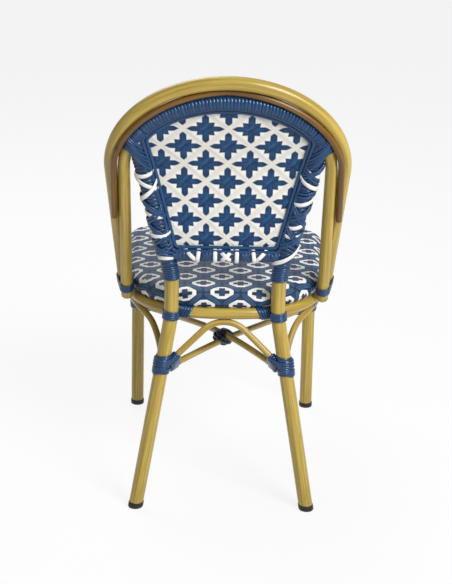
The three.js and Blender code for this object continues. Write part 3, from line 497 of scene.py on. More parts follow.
def filler_point(angle):
    """The rod's centre touches both hoops: the crossing, on the rear side, of a circle round the
    outer hoop's centre and one round the inner hoop's."""
    outer, inner = outer_hoop_point(angle), inner_hoop_point(angle)
    from_outer = (outer_diameter + filler_diameter) / 2 + fit
    from_inner = wrap_reach + filler_diameter / 2 + fit
    span = np.linalg.norm(inner - outer, axis=-1, keepdims=True)
    across = (inner - outer) / span
    rearward = unit(np.cross(outer_hoop_point(angle + 0.01) - outer_hoop_point(angle - 0.01), across))
    rearward = rearward * np.sign(rearward[..., 1:2])
    step = (span ** 2 + from_outer ** 2 - from_inner ** 2) / (2 * span)
    lift = np.sqrt(np.clip(from_outer ** 2 - step ** 2, 0, None))
    return outer + across * step + rearward * lift


def plug_end(name, line, outward, diameter, rise, node):
    """Closes a tube with a domed plug. Its line runs on past the tube's end by the rise times the
    sine, and the cosine's share of the width is left there."""
    share = np.sin(np.linspace(0, np.pi / 2, 7))
    dome = line[-1] + unit(line[-1] - line[-2]) * (fit + rise * share)[:, None]
    widths = diameter * np.maximum(np.sqrt(1 - share ** 2), 0.05)
    Piece(name).tube(dome, outward, widths).finish(golden_bamboo, "bamboo_paint", node)


hoop_angles = np.linspace(-np.pi, np.pi, 4000)
for hoop, hoop_point_at, hoop_diameter, lean, plug_rise in (
    ("outer_hoop", outer_hoop_point, outer_diameter, outer_lean, outer_plug_rise),
    ("inner_hoop", inner_hoop_point, inner_diameter, inner_lean, inner_plug_rise),
):
    hoop_line = evenly(hoop_point_at(hoop_angles), 260)
    hoop_normal = unit(np.array([0, 1, -lean]))
    hoop_tube = Piece(f"{hoop}_tube").tube(hoop_line, hoop_normal, hoop_diameter)
    hoop_tube.finish(golden_bamboo, "bamboo_paint", hoop)
    for word, line in (("left", hoop_line), ("right", hoop_line[::-1])):
        button, node = f"{hoop}_button_{word}", f"{hoop}_plug_{word}"
        plug_end(button, line, hoop_normal, hoop_diameter, plug_rise, node)

brown_bamboo = bamboo("brown_bamboo", (124, 86, 24), (98, 66, 18), (66, 42, 12), (44, 28, 10))
filler_line = evenly(filler_point(np.linspace(-filler_end_angle, filler_end_angle, 3000)), 220)
filler_rod = Piece("groove_rod").tube(filler_line, unit(np.array([0, 1, -outer_lean])), filler_diameter, 20)
filler_rod.finish(brown_bamboo, "brown_paint", "hoop_filler_rod")


# Legs
# Four tubes of the same painted bamboo. Each rear one is a single length that runs up past the
# seat as the back's stile, splaying below the ring and above the bend; the front ones end in
# a domed plug just above the ring.
leg_diameter = 0.0285
glide_sole = 0.005
rear_leg_angle, front_leg_angle = 67.3, -57
rear_leg_at_ring = beside_ring(rear_leg_angle, leg_diameter / 2)
front_leg_at_ring = beside_ring(front_leg_angle, leg_diameter / 2)
rear_leg_top, front_leg_top, front_plug_rise = 0.760, 0.414, 0.005
rear_foot_out, rear_foot_back, ring_bend_softness = 0.069, 0.048, 0.009
stile_bend, stile_slope, stile_bend_softness = 0.487, 0.258, 0.008
front_foot_in, front_foot_forward = 0.003, 0.001
shoulder, shoulder_softness = 0.695, 0.016
shoulder_y = inner_end[1] + inner_lean * (shoulder - seat_height)
stile_lean = (shoulder_y - rear_leg_at_ring[1]) / (shoulder - seat_height)
sides = ((1, "left"), (-1, "right"))


def back_y(z):
    """Depth of the back's middle at a height: one lean up to the shoulder and the hoop's above."""
    lower = rear_leg_at_ring[1] + stile_lean * (z - seat_height)
    return lower + (inner_lean - stile_lean) * soft_ramp(z - shoulder, shoulder_softness)


def rear_leg_point(side, z):
    """A rear leg and stile: straight in three runs, with soft bends at the ring and above it."""
    z = np.asarray(z, float)
    below = soft_ramp(seat_height - z, ring_bend_softness)
    upper = soft_ramp(z - stile_bend, stile_bend_softness)
    x = rear_leg_at_ring[0] + rear_foot_out / seat_height * below + stile_slope * upper
    return np.stack([side * x, back_y(z) + (rear_foot_back / seat_height + stile_lean) * below, z], -1)


def front_leg_point(side, z):
    """A front leg: one straight run, a little nearer the middle at the ring than on the floor."""
    z = np.asarray(z, float)
    drop = (seat_height - z) / seat_height
    x = side * (front_leg_at_ring[0] + front_foot_in * drop)
    return np.stack([x, front_leg_at_ring[1] - front_foot_forward * drop, z], -1)


for side, word in sides:
    for place, leg_point, top in (
        ("rear", rear_leg_point, rear_leg_top), ("front", front_leg_point, front_leg_top),
    ):
        leg_line = leg_point(side, np.linspace(glide_sole + fit, top, 130))
        leg = Piece(f"{place}_leg_tube_{word}").tube(leg_line, y_axis, leg_diameter)
        leg.finish(golden_bamboo, "bamboo_paint", f"{place}_leg_{word}")
    button, node = f"front_leg_button_{word}", f"front_leg_plug_{word}"
    plug_end(button, leg_line, y_axis, leg_diameter, front_plug_rise, node)


# Glides
# Moulded black cups pushed over the feet, flat where they stand, with a rounded lower edge and
# a faint moulding grain; the floor has rubbed their lowest millimetres grey.
glide_height, glide_wall, cup_eye = 0.012, 0.0008, 0.002
cup_sides, cup_side_length = 36, 0.0025

black_plastic = Finish("black_plastic", Specular_IOR_Level=0.4)
glide_place = black_plastic.node("ShaderNodeTexCoord", None, None, "Object")
glide_grain = black_plastic.noise(glide_place, 1400.0, 2.0)
glide_rub = black_plastic.noise(glide_place, 260.0)
glide_wear = black_plastic.part(glide_place, 2).step(0.004, 0.0005) * glide_rub.step(0.35, 0.7)
glide_colour = black_plastic.coats((30, 29, 30), (glide_wear, (92, 90, 88)))
black_plastic.feed(Base_Color=glide_colour, Roughness=0.42 + glide_grain * 0.2 + glide_wear * 0.2)
black_plastic.relief(glide_grain, 0.0002, 0.5)

# Height and radius of the cup's half section: sole, outer wall, lip and the inside down again
bore = leg_diameter / 2 + fit
cup_radius = bore + glide_wall
cup_section = np.array([
    (0.0, cup_eye), (0.0, cup_radius - 0.0024), (0.0006, cup_radius - 0.0010), (0.0022, cup_radius),
    (0.007, cup_radius), (0.0114, cup_radius), (0.0119, cup_radius - 0.0003),
    (glide_height, cup_radius - 0.0005), (glide_height, bore), (glide_sole, bore), (glide_sole, cup_eye),
])
cup_turn = 2 * np.pi * np.arange(cup_sides) / cup_sides
cup_circle = np.stack([np.cos(cup_turn), np.sin(cup_turn), 0 * cup_turn], -1)
cup_around = np.arange(cup_sides + 1) * cup_side_length
cup_lengths = np.stack(np.meshgrid(cup_section[:, 0], cup_around, indexing="ij"), -1)
for side, word in sides:
    for place, leg_point in (("rear", rear_leg_point), ("front", front_leg_point)):
        cup_grid = leg_point(side, cup_section[:, 0])[:, None] + cup_circle * cup_section[:, 1, None, None]
        glide = Piece(f"{place}_foot_cup_{word}").add(cup_grid, cup_lengths)
        glide.finish(black_plastic, "black_plastic", f"{place}_glide_{word}")


# Arches and crossed rods
# Thin rods of painted bamboo under the seat. An arch springs from each pair of legs and touches
# the ring from below, and two rods cross under the middle from rear leg to front leg.
rod_diameter = 0.013
under_ring = seat_height - ring_diameter / 2 - fit - rod_diameter / 2
rear_lash_height, front_lash_height = 0.306, 0.272
arch_foot_drop, side_arch_foot_drop, cross_rod_foot_drop = 0.019, 0.008, 0.021
rear_arch_half_top, rear_arch_bend = 0.0245, 0.024
front_arch_half_top, front_arch_bend = 0.072, 0.050
side_arch_from, side_arch_to, side_arch_power = 42, -28, 1.75
crossing = np.array([0, 0.034, 0.291])


def bent_line(corners, bend, count):
    """Straight runs between corners, each corner rounded by a quadratic curve that begins and
    ends a bend's length from it."""
    corners = np.array(corners)
    share = np.linspace(0, 1, 24)[:, None]
    parts = [corners[:1]]
    for before, corner, after in zip(corners[:-2], corners[1:-1], corners[2:]):
        start = corner + unit(before - corner) * bend
        end = corner + unit(after - corner) * bend
        parts.append(start * (1 - share) ** 2 + 2 * corner * share * (1 - share) + end * share ** 2)
    return evenly(np.vstack([*parts, corners[-1:]]), count)


def through(points, count=120, per_span=24):
    """A smooth line through points: Catmull-Rom spans whose knots lie the square root of the
    distance apart, with each end point mirrored past the end."""
    points = np.array(points)
    points = np.vstack([2 * points[0] - points[1], points, 2 * points[-1] - points[-2]])
    gap = np.sqrt(np.linalg.norm(np.diff(points, axis=0), axis=1))[:, None]
    slope = np.diff(points, axis=0) / gap
    reach = gap[:-1] + gap[1:]
    tangent = slope[:-1] - (points[2:] - points[:-2]) / reach + slope[1:]
    share = np.linspace(0, 1, per_span, endpoint=False)[None, :, None]
    first, last = points[1:-2][:, None], points[2:-1][:, None]
    leave, arrive = (tangent[:-1] * gap[1:-1])[:, None], (tangent[1:] * gap[1:-1])[:, None]
    curve = first + leave * share + (3 * (last - first) - 2 * leave - arrive) * share ** 2
    curve = curve + (2 * (first - last) + leave + arrive) * share ** 3
    return evenly(np.vstack([curve.reshape(-1, points.shape[1]), points[-2:-1]]), count)


def arch_line(foot, top_half, top_y, bend):
    """An arch across the chair: up from one foot, level under the ring, and down to the other."""
    mirror = np.array([-1, 1, 1])
    top = np.array([top_half, top_y, under_ring])
    return bent_line([foot, top, top * mirror, foot * mirror], bend, 160)


def side_arch_line(side):
    """A side arch: both limbs lean in with a share raised to a power, and between them it follows
    the ring from one angle to another."""
    run = ring_point(np.linspace(side_arch_from, side_arch_to, 7)) * (1, 1, 0) + (0, 0, under_ring)
    share = np.array([0, 0.4, 0.8])[:, None]
    limbs = []
    for foot, top in (
        (rear_leg_point(1, rear_lash_height - side_arch_foot_drop), run[0]),
        (front_leg_point(1, front_lash_height - side_arch_foot_drop), run[-1]),
    ):
        limb = foot + (top - foot) * share
        limb[:, 0] = foot[0] + (top[0] - foot[0]) * share[:, 0] ** side_arch_power
        limbs.append(limb)
    return through(np.vstack([limbs[0], run[1:-1], limbs[1][::-1]]), 180) * (side, 1, 1)


def cross_rod_line(side):
    """A crossed rod: rear leg, over or under the other at the crossing, opposite front leg."""
    rear = rear_leg_point(side, rear_lash_height - cross_rod_foot_drop)
    front = front_leg_point(-side, front_lash_height - cross_rod_foot_drop)
    return through([rear, crossing - side * (rod_diameter + fit) / 2 * z_axis, front])


rear_arch_line = arch_line(
    rear_leg_point(1, rear_lash_height - arch_foot_drop), rear_arch_half_top, ring_point(90)[1],
    rear_arch_bend)
front_arch_line = arch_line(
    front_leg_point(1, front_lash_height - arch_foot_drop), front_arch_half_top, ring_point(-90)[1],
    front_arch_bend)
side_arch_lines = {side: side_arch_line(side) for side, _ in sides}
cross_rod_lines = {side: cross_rod_line(side) for side, _ in sides}
dark_bamboo = bamboo("dark_bamboo", (196, 168, 84), (160, 132, 56), (112, 84, 32), (64, 44, 20))
for rod, rod_line, rod_outward in (
    ("rear_arch", rear_arch_line, y_axis),
    ("front_arch", front_arch_line, y_axis),
    ("side_arch_left", side_arch_lines[1], x_axis),
    ("side_arch_right", side_arch_lines[-1], x_axis),
    ("cross_rod_left", cross_rod_lines[1], z_axis),
    ("cross_rod_right", cross_rod_lines[-1], z_axis),
):
    rod_piece = Piece(f"{rod}_rod").tube(rod_line, rod_outward, rod_diameter, 20)
    rod_piece.finish(dark_bamboo, "bamboo_paint", rod)


# Cross bars and back rail
# Straight tubes let in between others: two under the woven seat, from side to side of the ring,
# and one between the stiles that carries the foot of the woven back.
crossbar_step, crossbar_diameter = 0.095, 0.014
rail_height, rail_diameter = 0.526, 0.020


def level_bar(reach, y, z, count=60):
    """A straight line across the chair, as far to one side as to the other."""
    return np.linspace((-reach, y, z), (reach, y, z), count)


ring_side = ring_point(np.linspace(-60, 60, 600))
for step, word in ((crossbar_step, "rear"), (-crossbar_step, "front")):
    bar_y = ring_middle_y + step
    bar_line = level_bar(np.interp(bar_y, ring_side[:, 1], ring_side[:, 0]), bar_y, seat_height)
    crossbar = Piece(f"crossbar_{word}_tube").tube(bar_line, z_axis, crossbar_diameter, 20)
    crossbar.finish(dark_bamboo, "bamboo_paint", f"seat_crossbar_{word}")

rail_y = back_y(rail_height)
rail_reach = rear_leg_point(1, rail_height)[0]
back_rail = Piece("back_rail_tube").tube(level_bar(rail_reach, rail_y, rail_height), z_axis, rail_diameter)
back_rail.finish(golden_bamboo, "bamboo_paint", "back_bottom_rail")


# Woven seat
# Flat blue and white plastic cane woven over the ring and its cross bars. The blue ground shows
# white eight-sided rings, each round a blue cross, with blue strands running slantwise between;
# it bulges over the ring, dips in at its foot and is slightly crowned.
weave_foot = seat_height + ring_diameter / 2 + fit
weave_height, weave_crown, weave_bulge, weave_inset, weave_wall = 0.036, 0.006, 0.0068, 0.009, 0.004
motif_pitch_x, motif_pitch_y = 0.074, 0.0745
motif_start_x, motif_start_y = 0.006, 0.1886
octagon_half_width, octagon_half_depth, octagon_corner = 0.0228, 0.0176, 1.32
skirt_squeeze = 1.3
seat_columns, skirt_rows = 520, 24
strand_pitch, motif_relief, strand_relief = 0.0076, 0.0011, 0.00025


def slanting(u, v):
    """The slanting coordinates u+v and u-v, each as its distance from the nearest whole number."""
    return [slant - np.round(slant) for slant in (u + v, u - v)]


def seat_motif(u, v):
    """Eight-sided patches at every whole pair of slanting coordinates, with u and v in pitches:
    each stands 1 high, falls away at its edge and has a cross sunk in its middle."""
    first, second = slanting(u, v)
    x = np.abs(first + second) * motif_pitch_x / 2 / octagon_half_width
    y = np.abs(first - second) * motif_pitch_y / 2 / octagon_half_depth
    octagon = np.maximum(np.maximum(x, y), (x + y) / octagon_corner)
    cross = (np.maximum(x / 0.60, y / 0.22) < 1) | (np.maximum(x / 0.24, y / 0.58) < 1)
    patch = np.clip((1.04 - octagon) / 0.14, 0, 1) * np.where(cross, 0.35, 1)
    to_strand = np.minimum(np.abs(0.5 - np.abs(first)), np.abs(0.5 - np.abs(second)))
    between = np.clip(1 - to_strand / 0.14, 0, 1)
    return np.maximum(np.sqrt(patch), 0.8 * np.sqrt(between))


# Angles round the ring at which its columns stand at even distances
around_degrees = np.linspace(0, 360, 6000, endpoint=False)
around_line = ring_point(around_degrees)
around_lengths = lengths_along(np.vstack([around_line, around_line[:1]]))
around_even = np.linspace(0, 1, seat_columns, endpoint=False)
seat_degrees = np.interp(around_even, around_lengths[:-1] / around_lengths[-1], around_degrees)
seat_edge, seat_out = ring_point(seat_degrees), ring_normal(seat_degrees)
seat_middle = ring_middle_y * y_axis

# The half section from the foot up: how far outside the ring's line, and how high
skirt = through(np.array([
    (0.2, 0), (1, 0.25 * weave_height / weave_bulge), (1, 0.65 * weave_height / weave_bulge),
    (-0.2, 0.88 * weave_height / weave_bulge), (-weave_inset / weave_bulge, weave_height / weave_bulge),
]) * weave_bulge, skirt_rows)
skirt_length = lengths_along(skirt)
top_share = np.linspace(1, 0.012, 84)[1:]


def seat_rows(skirt_offsets, skirt_heights, inset, shares, drop):
    """Rows of points up the skirt, each the ring's plan grown by an offset, and then in over the
    top, each the top edge drawn towards the middle; a crown rises with one minus share squared."""
    up_rows = seat_edge + seat_out * skirt_offsets[:, None, None]
    up_rows[..., 2] = weave_foot + skirt_heights[:, None]
    rim = seat_edge - seat_out * inset
    top_rows = seat_middle + (rim - seat_middle) * shares[:, None, None]
    top_rows[..., 2] = weave_foot + weave_height - drop + weave_crown * (1 - shares[:, None] ** 2)
    return np.vstack([up_rows, top_rows])


# Where each point lies in the flat pattern: the skirt is laid out past the top's rim
seat_rim = seat_edge - seat_out * weave_inset
skirt_places = seat_rim + seat_out * (skirt_length[-1] - skirt_length)[:, None, None]
top_places = seat_middle + (seat_rim - seat_middle) * top_share[:, None, None]
seat_places = np.vstack([skirt_places, top_places])
seat_u = (seat_places[..., 0] - motif_start_x) / motif_pitch_x
seat_v = (seat_places[..., 1] - motif_start_y) / motif_pitch_y
seat_v = np.where(seat_v > 0, seat_v * skirt_squeeze, seat_v)

outer_rows = seat_rows(skirt[:, 0], skirt[:, 1], weave_inset, top_share, 0)
column_run = np.roll(outer_rows, -1, 1) - np.roll(outer_rows, 1, 1)
seat_up = unit(np.cross(column_run, np.gradient(outer_rows, axis=0)))
seat_up = seat_up * np.sign(seat_up[skirt_rows // 2, 0] @ seat_out[0])
ripple = np.sin(2 * np.pi * seat_places / strand_pitch)
rise = motif_relief * seat_motif(seat_u, seat_v) + strand_relief * ripple[..., 0] * ripple[..., 1]
rise[:3] *= np.array([0, 0.3, 0.7])[:, None]
outer_rows = outer_rows + seat_up * rise[..., None]
inner_skirt = skirt - weave_wall * np.stack([np.ones(skirt_rows), skirt[:, 1] / weave_height], -1)
inner_rows = seat_rows(
    inner_skirt[:, 0], inner_skirt[:, 1], weave_inset + weave_wall, top_share[::4], weave_wall)
seat_uv = np.stack([seat_u, seat_v], -1)
inner_uv = np.vstack([seat_uv[:skirt_rows], seat_uv[skirt_rows::4]])
seat_uv = np.vstack([inner_uv[::-1], seat_uv])
seat_uv = np.concatenate([seat_uv, seat_uv[:, :1]], 1)

seat_look = Finish("blue_and_white_seat_cane", Coat_Weight=0.1, Coat_Roughness=0.3, Specular_IOR_Level=0.3)
seat_map = seat_look.lengths()
seat_x, seat_y = seat_look.part(seat_map, 0), seat_look.part(seat_map, 1)
slant_one, slant_two = (seat_x + seat_y).from_whole(), (seat_x - seat_y).from_whole()
ring_x = abs(slant_one + slant_two) * (motif_pitch_x / 2 / octagon_half_width)
ring_y = abs(slant_one - slant_two) * (motif_pitch_y / 2 / octagon_half_depth)
octagon = ring_x.higher(ring_y).higher((ring_x + ring_y) * (1 / octagon_corner))
level_arm = ring_x.step(0.68, 0.62) * (ring_y + ring_x * 0.10).step(0.33, 0.26)
upright_arm = (ring_x + ring_y * 0.06).step(0.32, 0.26) * ring_y.step(0.66, 0.60)
# Painted shade: grey lines in the creases where the white patch's facets meet, which the relief also sinks.
patch_facet = abs((ring_x - ring_y) * 0.9).lower(abs(ring_x - 0.42)).lower(abs(ring_y - 0.42))
patch_facet = patch_facet.step(0.035, 0.005)
slant_edge = abs(slant_one).higher(abs(slant_two))
# Painted shade: dark lines in the gaps between the slanting strands.
strand_line = abs(slant_edge - 0.405).lower(0.5 - slant_edge).step(0.016, 0.004)
strand_line = strand_line.higher(abs(slant_edge - 0.452).step(0.007, 0.001) * 0.6)
# Painted highlight: a light line along each strand, beside the painted shade of its gaps.
strand_shine = abs(slant_edge - 0.430).lower(abs(slant_edge - 0.474)).step(0.014, 0.003)
knot_square = abs(abs(slant_one) - abs(slant_two)).step(0.03, 0.10)
seat_fibre = seat_look.noise(seat_map, (60, 60, 1))
seat_patch = seat_look.noise(seat_map, (3, 3, 1), 2.0)
seat_blue = seat_look.coats(
    (4, 34, 74),
    (seat_fibre.step(0.3, 0.7), (22, 62, 110)),
    (seat_patch.step(0.4, 0.7) * 0.35, (34, 58, 76)),
    # Painted highlight on the strands, then painted shade in their gaps
    (strand_shine * knot_square * 0.8, (84, 132, 172)),
    (strand_line, (4, 12, 24)),
    (level_arm * (1 - upright_arm) * 0.85, (10, 26, 40)),
)
# The white, with painted grey shade in its facets' creases
seat_white = seat_look.coats(
    (244, 244, 240), (seat_fibre.step(0.35, 0.8), (228, 228, 222)), (patch_facet * 0.4, (150, 156, 160)))
patch_white = octagon.step(1.03, 0.98) * (1 - level_arm.higher(upright_arm))
seat_colour = seat_look.coats(seat_blue, (patch_white, seat_white))
seat_look.feed(Base_Color=seat_colour, Roughness=0.34 + seat_fibre * 0.2)
seat_weaving = ((seat_x + seat_y) * (2 * np.pi * 18)).sine() * ((seat_x - seat_y) * (2 * np.pi * 18)).sine()
seat_look.relief(seat_weaving * 0.4 + seat_fibre * 0.3 - strand_line * 0.8 - patch_facet * 0.5, 0.0008, 0.8)

seat = Piece("woven_seat").add(np.vstack([inner_rows[::-1], outer_rows]), seat_uv)
seat.finish(seat_look, "blue_weave", "seat_weave")


# Woven back
# A flat sheet of the same cane, white with blue eight-petalled flowers, four petals long and
# four short, in the diamonds of a white slanting lattice. It fills the space inside the stiles,
# the rail and the hoop, and shows the same pattern on both faces.
panel_thickness = 0.004
panel_columns, panel_rows = 132, 124
flower_rise, flower_start, flower_relief = 0.0757, 0.0587, 0.0009
flower_pitch, flower_growth = 0.077, 0.034


def strand_reach(radius):
    """How far from a tube's centre the middle of a strand wound on it lies."""
    return radius + strand_fit + strand_depth / 2


lace_reach = (strand_reach(leg_diameter / 2) + strand_depth / 2) * facet_slack
panel_side_clear = (lace_reach + fit) * np.hypot(1, stile_slope)
panel_bottom = rail_height + (strand_reach(rail_diameter / 2) + strand_depth / 2) * facet_slack + fit
panel_top_clear = wrap_reach + strand_depth / 2 + fit


def panel_side_x(z):
    """The sheet's side edge: the stile's centre less the room for what is wound on the stile."""
    return rear_leg_point(1, z)[..., 0] - panel_side_clear


def inside_hoop(angle, clear):
    """A point inside the inner hoop, square to it in its own plane."""
    along = inner_hoop_point(angle + 0.01) - inner_hoop_point(angle - 0.01)
    inward = unit(np.cross(along, (0, -1, inner_lean)))
    inward = inward * -np.sign(inward[..., 2:3])
    return inner_hoop_point(angle) + inward * clear


def panel_corner(margin=0.0):
    """The hoop's angle where the sheet's top edge meets its side edge: the first that reaches it."""
    angles = np.linspace(0, np.pi / 2, 4000)
    tops = inside_hoop(angles, panel_top_clear + margin)
    return angles[np.argmax(tops[:, 0] >= panel_side_x(tops[:, 2]) - margin)]


def panel_plan(across, up, margin=0.0):
    """The sheet's plan, across from -1 to 1 and up from 0 to 1: straight lines from its foot to
    its top edge, which follows the hoop as far as its corner."""
    top = inside_hoop(across * panel_corner(margin), panel_top_clear + margin)
    low = panel_bottom + margin
    low_x = across * (panel_side_x(low) - margin)
    x = low_x + (top[..., 0] - low_x) * up
    return np.stack([x, np.zeros_like(x), low + (top[..., 2] - low) * up], -1)


back_heights = np.linspace(0.5, 0.9, 2000)
back_lengths = np.cumsum(np.hypot(np.gradient(back_heights), np.gradient(back_y(back_heights))))


def flower_places(points):
    """Pattern coordinates in pitches: across by a pitch that grows from the sheet's foot upwards,
    and up by the length along the sheet."""
    length = np.interp(points[..., 2], back_heights, back_lengths)
    length = length - np.interp(panel_bottom, back_heights, back_lengths)
    across = points[..., 0] / (flower_pitch + flower_growth * length)
    return np.stack([across, (length - flower_start) / flower_rise], -1)


def flower_height(places):
    """Relief of the sheet from 0 to 1: high on the petals and on the lattice bands."""
    first, second = slanting(places[..., 0], places[..., 1])
    x, y = np.abs(first + second), np.abs(first - second)
    petals = np.minimum(x * 0.7 + y * 2.2, x * 2.2 + y * 0.75)
    bands = np.maximum(np.abs(first), np.abs(second))
    return np.maximum(np.clip(1.15 - petals * 1.6, 0, 1), np.clip((bands - 0.38) / 0.06, 0, 1) * 0.8)


panel_shares = [np.linspace(-1, 1, panel_columns), np.linspace(0, 1, panel_rows)]
across_grid, up_grid = np.meshgrid(*panel_shares, indexing="ij")
panel_points = panel_plan(across_grid, up_grid)
panel_places = flower_places(panel_points)
edge_fade = np.clip(np.minimum(1 - np.abs(across_grid), np.minimum(up_grid, 1 - up_grid) * 2) * 20, 0, 1)
panel_out = panel_thickness / 2 + flower_relief * flower_height(panel_places) * edge_fade
front_face, rear_face = (
    panel_points + (back_y(panel_points[..., 2]) + face * panel_out)[..., None] * y_axis
    for face in (-1, 1))
panel_grid = np.concatenate([front_face, rear_face[:, ::-1]], 1)
panel_uv = np.concatenate([panel_places, panel_places[:, ::-1], panel_places[:, :1]], 1)

back_look = Finish(
    "white_cane_with_blue_flowers", Coat_Weight=0.1, Coat_Roughness=0.3, Specular_IOR_Level=0.3)
back_map = back_look.lengths()
back_u, back_v = back_look.part(back_map, 0), back_look.part(back_map, 1)
lattice_one, lattice_two = (back_u + back_v).from_whole(), (back_u - back_v).from_whole()
# From here a flower's own coordinates, in millimetres from its middle
flower_wide, flower_high = 41.0, 37.4
petal_x = abs(lattice_one + lattice_two) * flower_wide
petal_y = abs(lattice_one - lattice_two) * flower_high
petal_out = petal_x + petal_y
level_petal = (petal_y - 5.4).higher(petal_x + petal_y * 1.7 - 34.5)
upright_petal = (petal_x - 6.2).higher(petal_y + petal_x * 0.9 - 30.5)
corner_petal = (petal_y - petal_x * 0.10 - 12.3).higher(petal_x - petal_y * 0.18 - 13.8)
flower = level_petal.lower(upright_petal).lower(corner_petal)
is_flower = flower.step(0.35, -0.35)
# Painted shade: dark lines along the folds between a flower's lobes and petals, and along a slanting fold
# through its middle.
leaf_edge = abs(petal_x * 0.36 - petal_y + 0.8).lower(abs(petal_x - petal_y * 0.50 - 1.0))
fold = leaf_edge.step(1.1, 0.3) * petal_out.step(6.0, 11.0)
# Painted highlight: a light line along the ridge of each slanting lobe.
lit_ridge = abs(petal_x * 0.76 - petal_y).step(1.2, 0.2) * petal_out.step(8.0, 14.0)
slant_place = lattice_one * flower_wide
slant_fold = abs(slant_place + 1.5).step(1.5, 0.5) * petal_x.step(13.0, 10.0) * petal_y.step(11.0, 8.0)
# Painted highlight: a light slanting stripe beside the middle fold.
slant_shine = abs(slant_place - 2.6).step(2.4, 0.8) * petal_x.step(13.0, 9.0)
band_edge = abs(lattice_one).higher(abs(lattice_two))
band_line = abs(band_edge - 0.443).lower(0.5 - band_edge).step(0.012, 0.003)
dark_line = (0.5 - abs(lattice_two)).step(0.009, 0.002) * abs(lattice_one).step(0.44, 0.38)
back_weaving = ((back_u + back_v) * (2 * np.pi * 13)).sine() * ((back_u - back_v) * (2 * np.pi * 13)).sine()
back_fibre = back_look.noise(back_map, (70, 70, 1))
back_tint = back_look.noise(back_map, (7, 7, 1), 2.0)
petal_blue = back_look.coats(
    (2, 48, 92),
    (back_tint.step(0.35, 0.65), (8, 68, 116)),
    (back_fibre.step(0.45, 0.8) * 0.3, (50, 98, 130)),
    # Painted highlight on the slanting stripe and on the lobes' ridges
    (slant_shine.higher(lit_ridge * 0.9) * 0.26, (64, 110, 146)),
    (petal_out.step(15.0, 27.0) * 0.55, (2, 38, 66)),
    # Painted shade in the folds
    (fold.higher(slant_fold * 0.6) * 0.85, (4, 22, 44)),
    (flower.step(-1.6, -0.2) * 0.5, (6, 30, 62)),
)
lattice_white = back_look.coats(
    (238, 238, 235),
    (back_fibre.step(0.35, 0.75), (226, 223, 214)),
    (band_line * 0.9, (190, 172, 148)),
    (dark_line, (78, 72, 64)),
    (flower.step(1.4, 0.3) * 0.4, (176, 182, 188)),
)
back_colour = back_look.coats(lattice_white, (is_flower, petal_blue))
back_look.feed(Base_Color=back_colour, Roughness=0.36 + back_fibre * 0.18)
back_relief = back_weaving * 0.3 - fold.higher(slant_fold) * 0.8 + lit_ridge * 0.3 - band_line * 0.6
back_look.relief(back_relief + is_flower * 0.4, 0.0007, 0.8)

back_panel = Piece("woven_back").add(panel_grid, panel_uv, caps=False)
# The two side rims, each a strip of quads from the front face to the rear one
rim_row = np.arange(panel_rows - 1)
last_row = 2 * panel_rows - 1
for rim, turned in ((0, 1), ((panel_columns - 1) * 2 * panel_rows, -1)):
    corners = [rim + rim_row, rim + rim_row + 1, rim + last_row - 1 - rim_row, rim + last_row - rim_row]
    back_panel.quads.append(np.stack(corners[::turned], -1))
    back_panel.quad_lengths.append(np.zeros((panel_rows - 1, 4, 2)))
back_panel.finish(back_look, "white_weave", "back_panel")


# Welts
# Two glossy blue canes laid side by side over the edge of the woven back, all round it and on
# both faces, where they hide the ends of the strands. The outer one rides on the windings.
def cane(name, light, dark, glint):
    """Extruded plastic cane: fine ribs run along it, each with a painted glint, its colour drifts a little
    from strand to strand with the tone attribute, and its lacquer is smooth."""
    look = Finish(name, Coat_Weight=0.45, Coat_Roughness=0.14, Specular_IOR_Level=0.35)
    cane_map = look.lengths()
    ribs = look.noise(cane_map, (25, 2200, 1), 2.0)
    drift = look.noise(cane_map, (45, 120, 1), 2.0)
    tone = look.attribute("tone")
    colour = look.coats(dark, (tone * 0.6 + drift * 0.4, light), (ribs.step(0.52, 0.75) * 0.35, glint))
    look.feed(Base_Color=colour, Roughness=0.28 + ribs * 0.18)
    look.relief(ribs, 0.00025, 0.6)
    return look


blue_cane = cane("blue_cane", (2, 68, 116), (1, 34, 70), (36, 108, 150))
welt_width, welt_depth = 0.0074, 0.0052
# How far inside the sheet's edge, how far off its face, and how light each cane is
welt_canes = ((-0.0042, 0.0072, 0.45), (0.0028, 0.0032, 0.70))


def welt_line(margin):
    """The outline a little inside the sheet's edge, round its four sides, as a smooth closed line."""
    run = np.linspace(-1, 1, 200)
    half_run, ones = (run + 1) / 2, np.ones(200)
    plan = np.vstack([
        panel_plan(run, ones, margin), panel_plan(ones, 1 - half_run, margin)[1:],
        panel_plan(-run, 0 * ones, margin)[1:], panel_plan(-ones, half_run, margin)[1:-1],
    ])
    line = evenly(plan, 420, closed=True)
    for _ in range(6):
        line = (np.roll(line, 1, 0) + 2 * line + np.roll(line, -1, 0)) / 4
    return line


for face, word in ((1, "rear"), (-1, "front")):
    welt = Piece(f"welt_canes_{word}")
    for margin, stand_off, tone in welt_canes:
        line = welt_line(margin)
        line[:, 1] = back_y(line[:, 2]) + face * (panel_thickness / 2 + fit + stand_off)
        welt.strand(line, face * y_axis, welt_width, welt_depth, 12, True, tone)
    welt.finish(blue_cane, "blue_cane", f"back_welt_{word}")


# Top wrap and gussets
# One long blue cane wound tightly round the inner hoop over the back. At each shoulder it goes
# on round the hoop, the stile and the edge of the woven back, so that its turns fan out and
# fill the corner.
wrap_end, wrap_turns, wrap_strand, wrap_depth = 0.94, 54, 0.0070, 0.0030
gusset_start, gusset_end, gusset_low = wrap_end + 0.02, 1.27, 0.690
gusset_turns, gusset_strand, gusset_depth = 12, 0.0054, 0.0044
sleeve_growth, gusset_sleeve_low, gusset_sleeve_high = 0.002, 0.715, 0.757
hoop_reach, stile_reach = strand_reach(inner_diameter / 2), strand_reach(leg_diameter / 2)
edge_reach = 0.0032
back_normal = unit(np.array([0, 1, -inner_lean]))


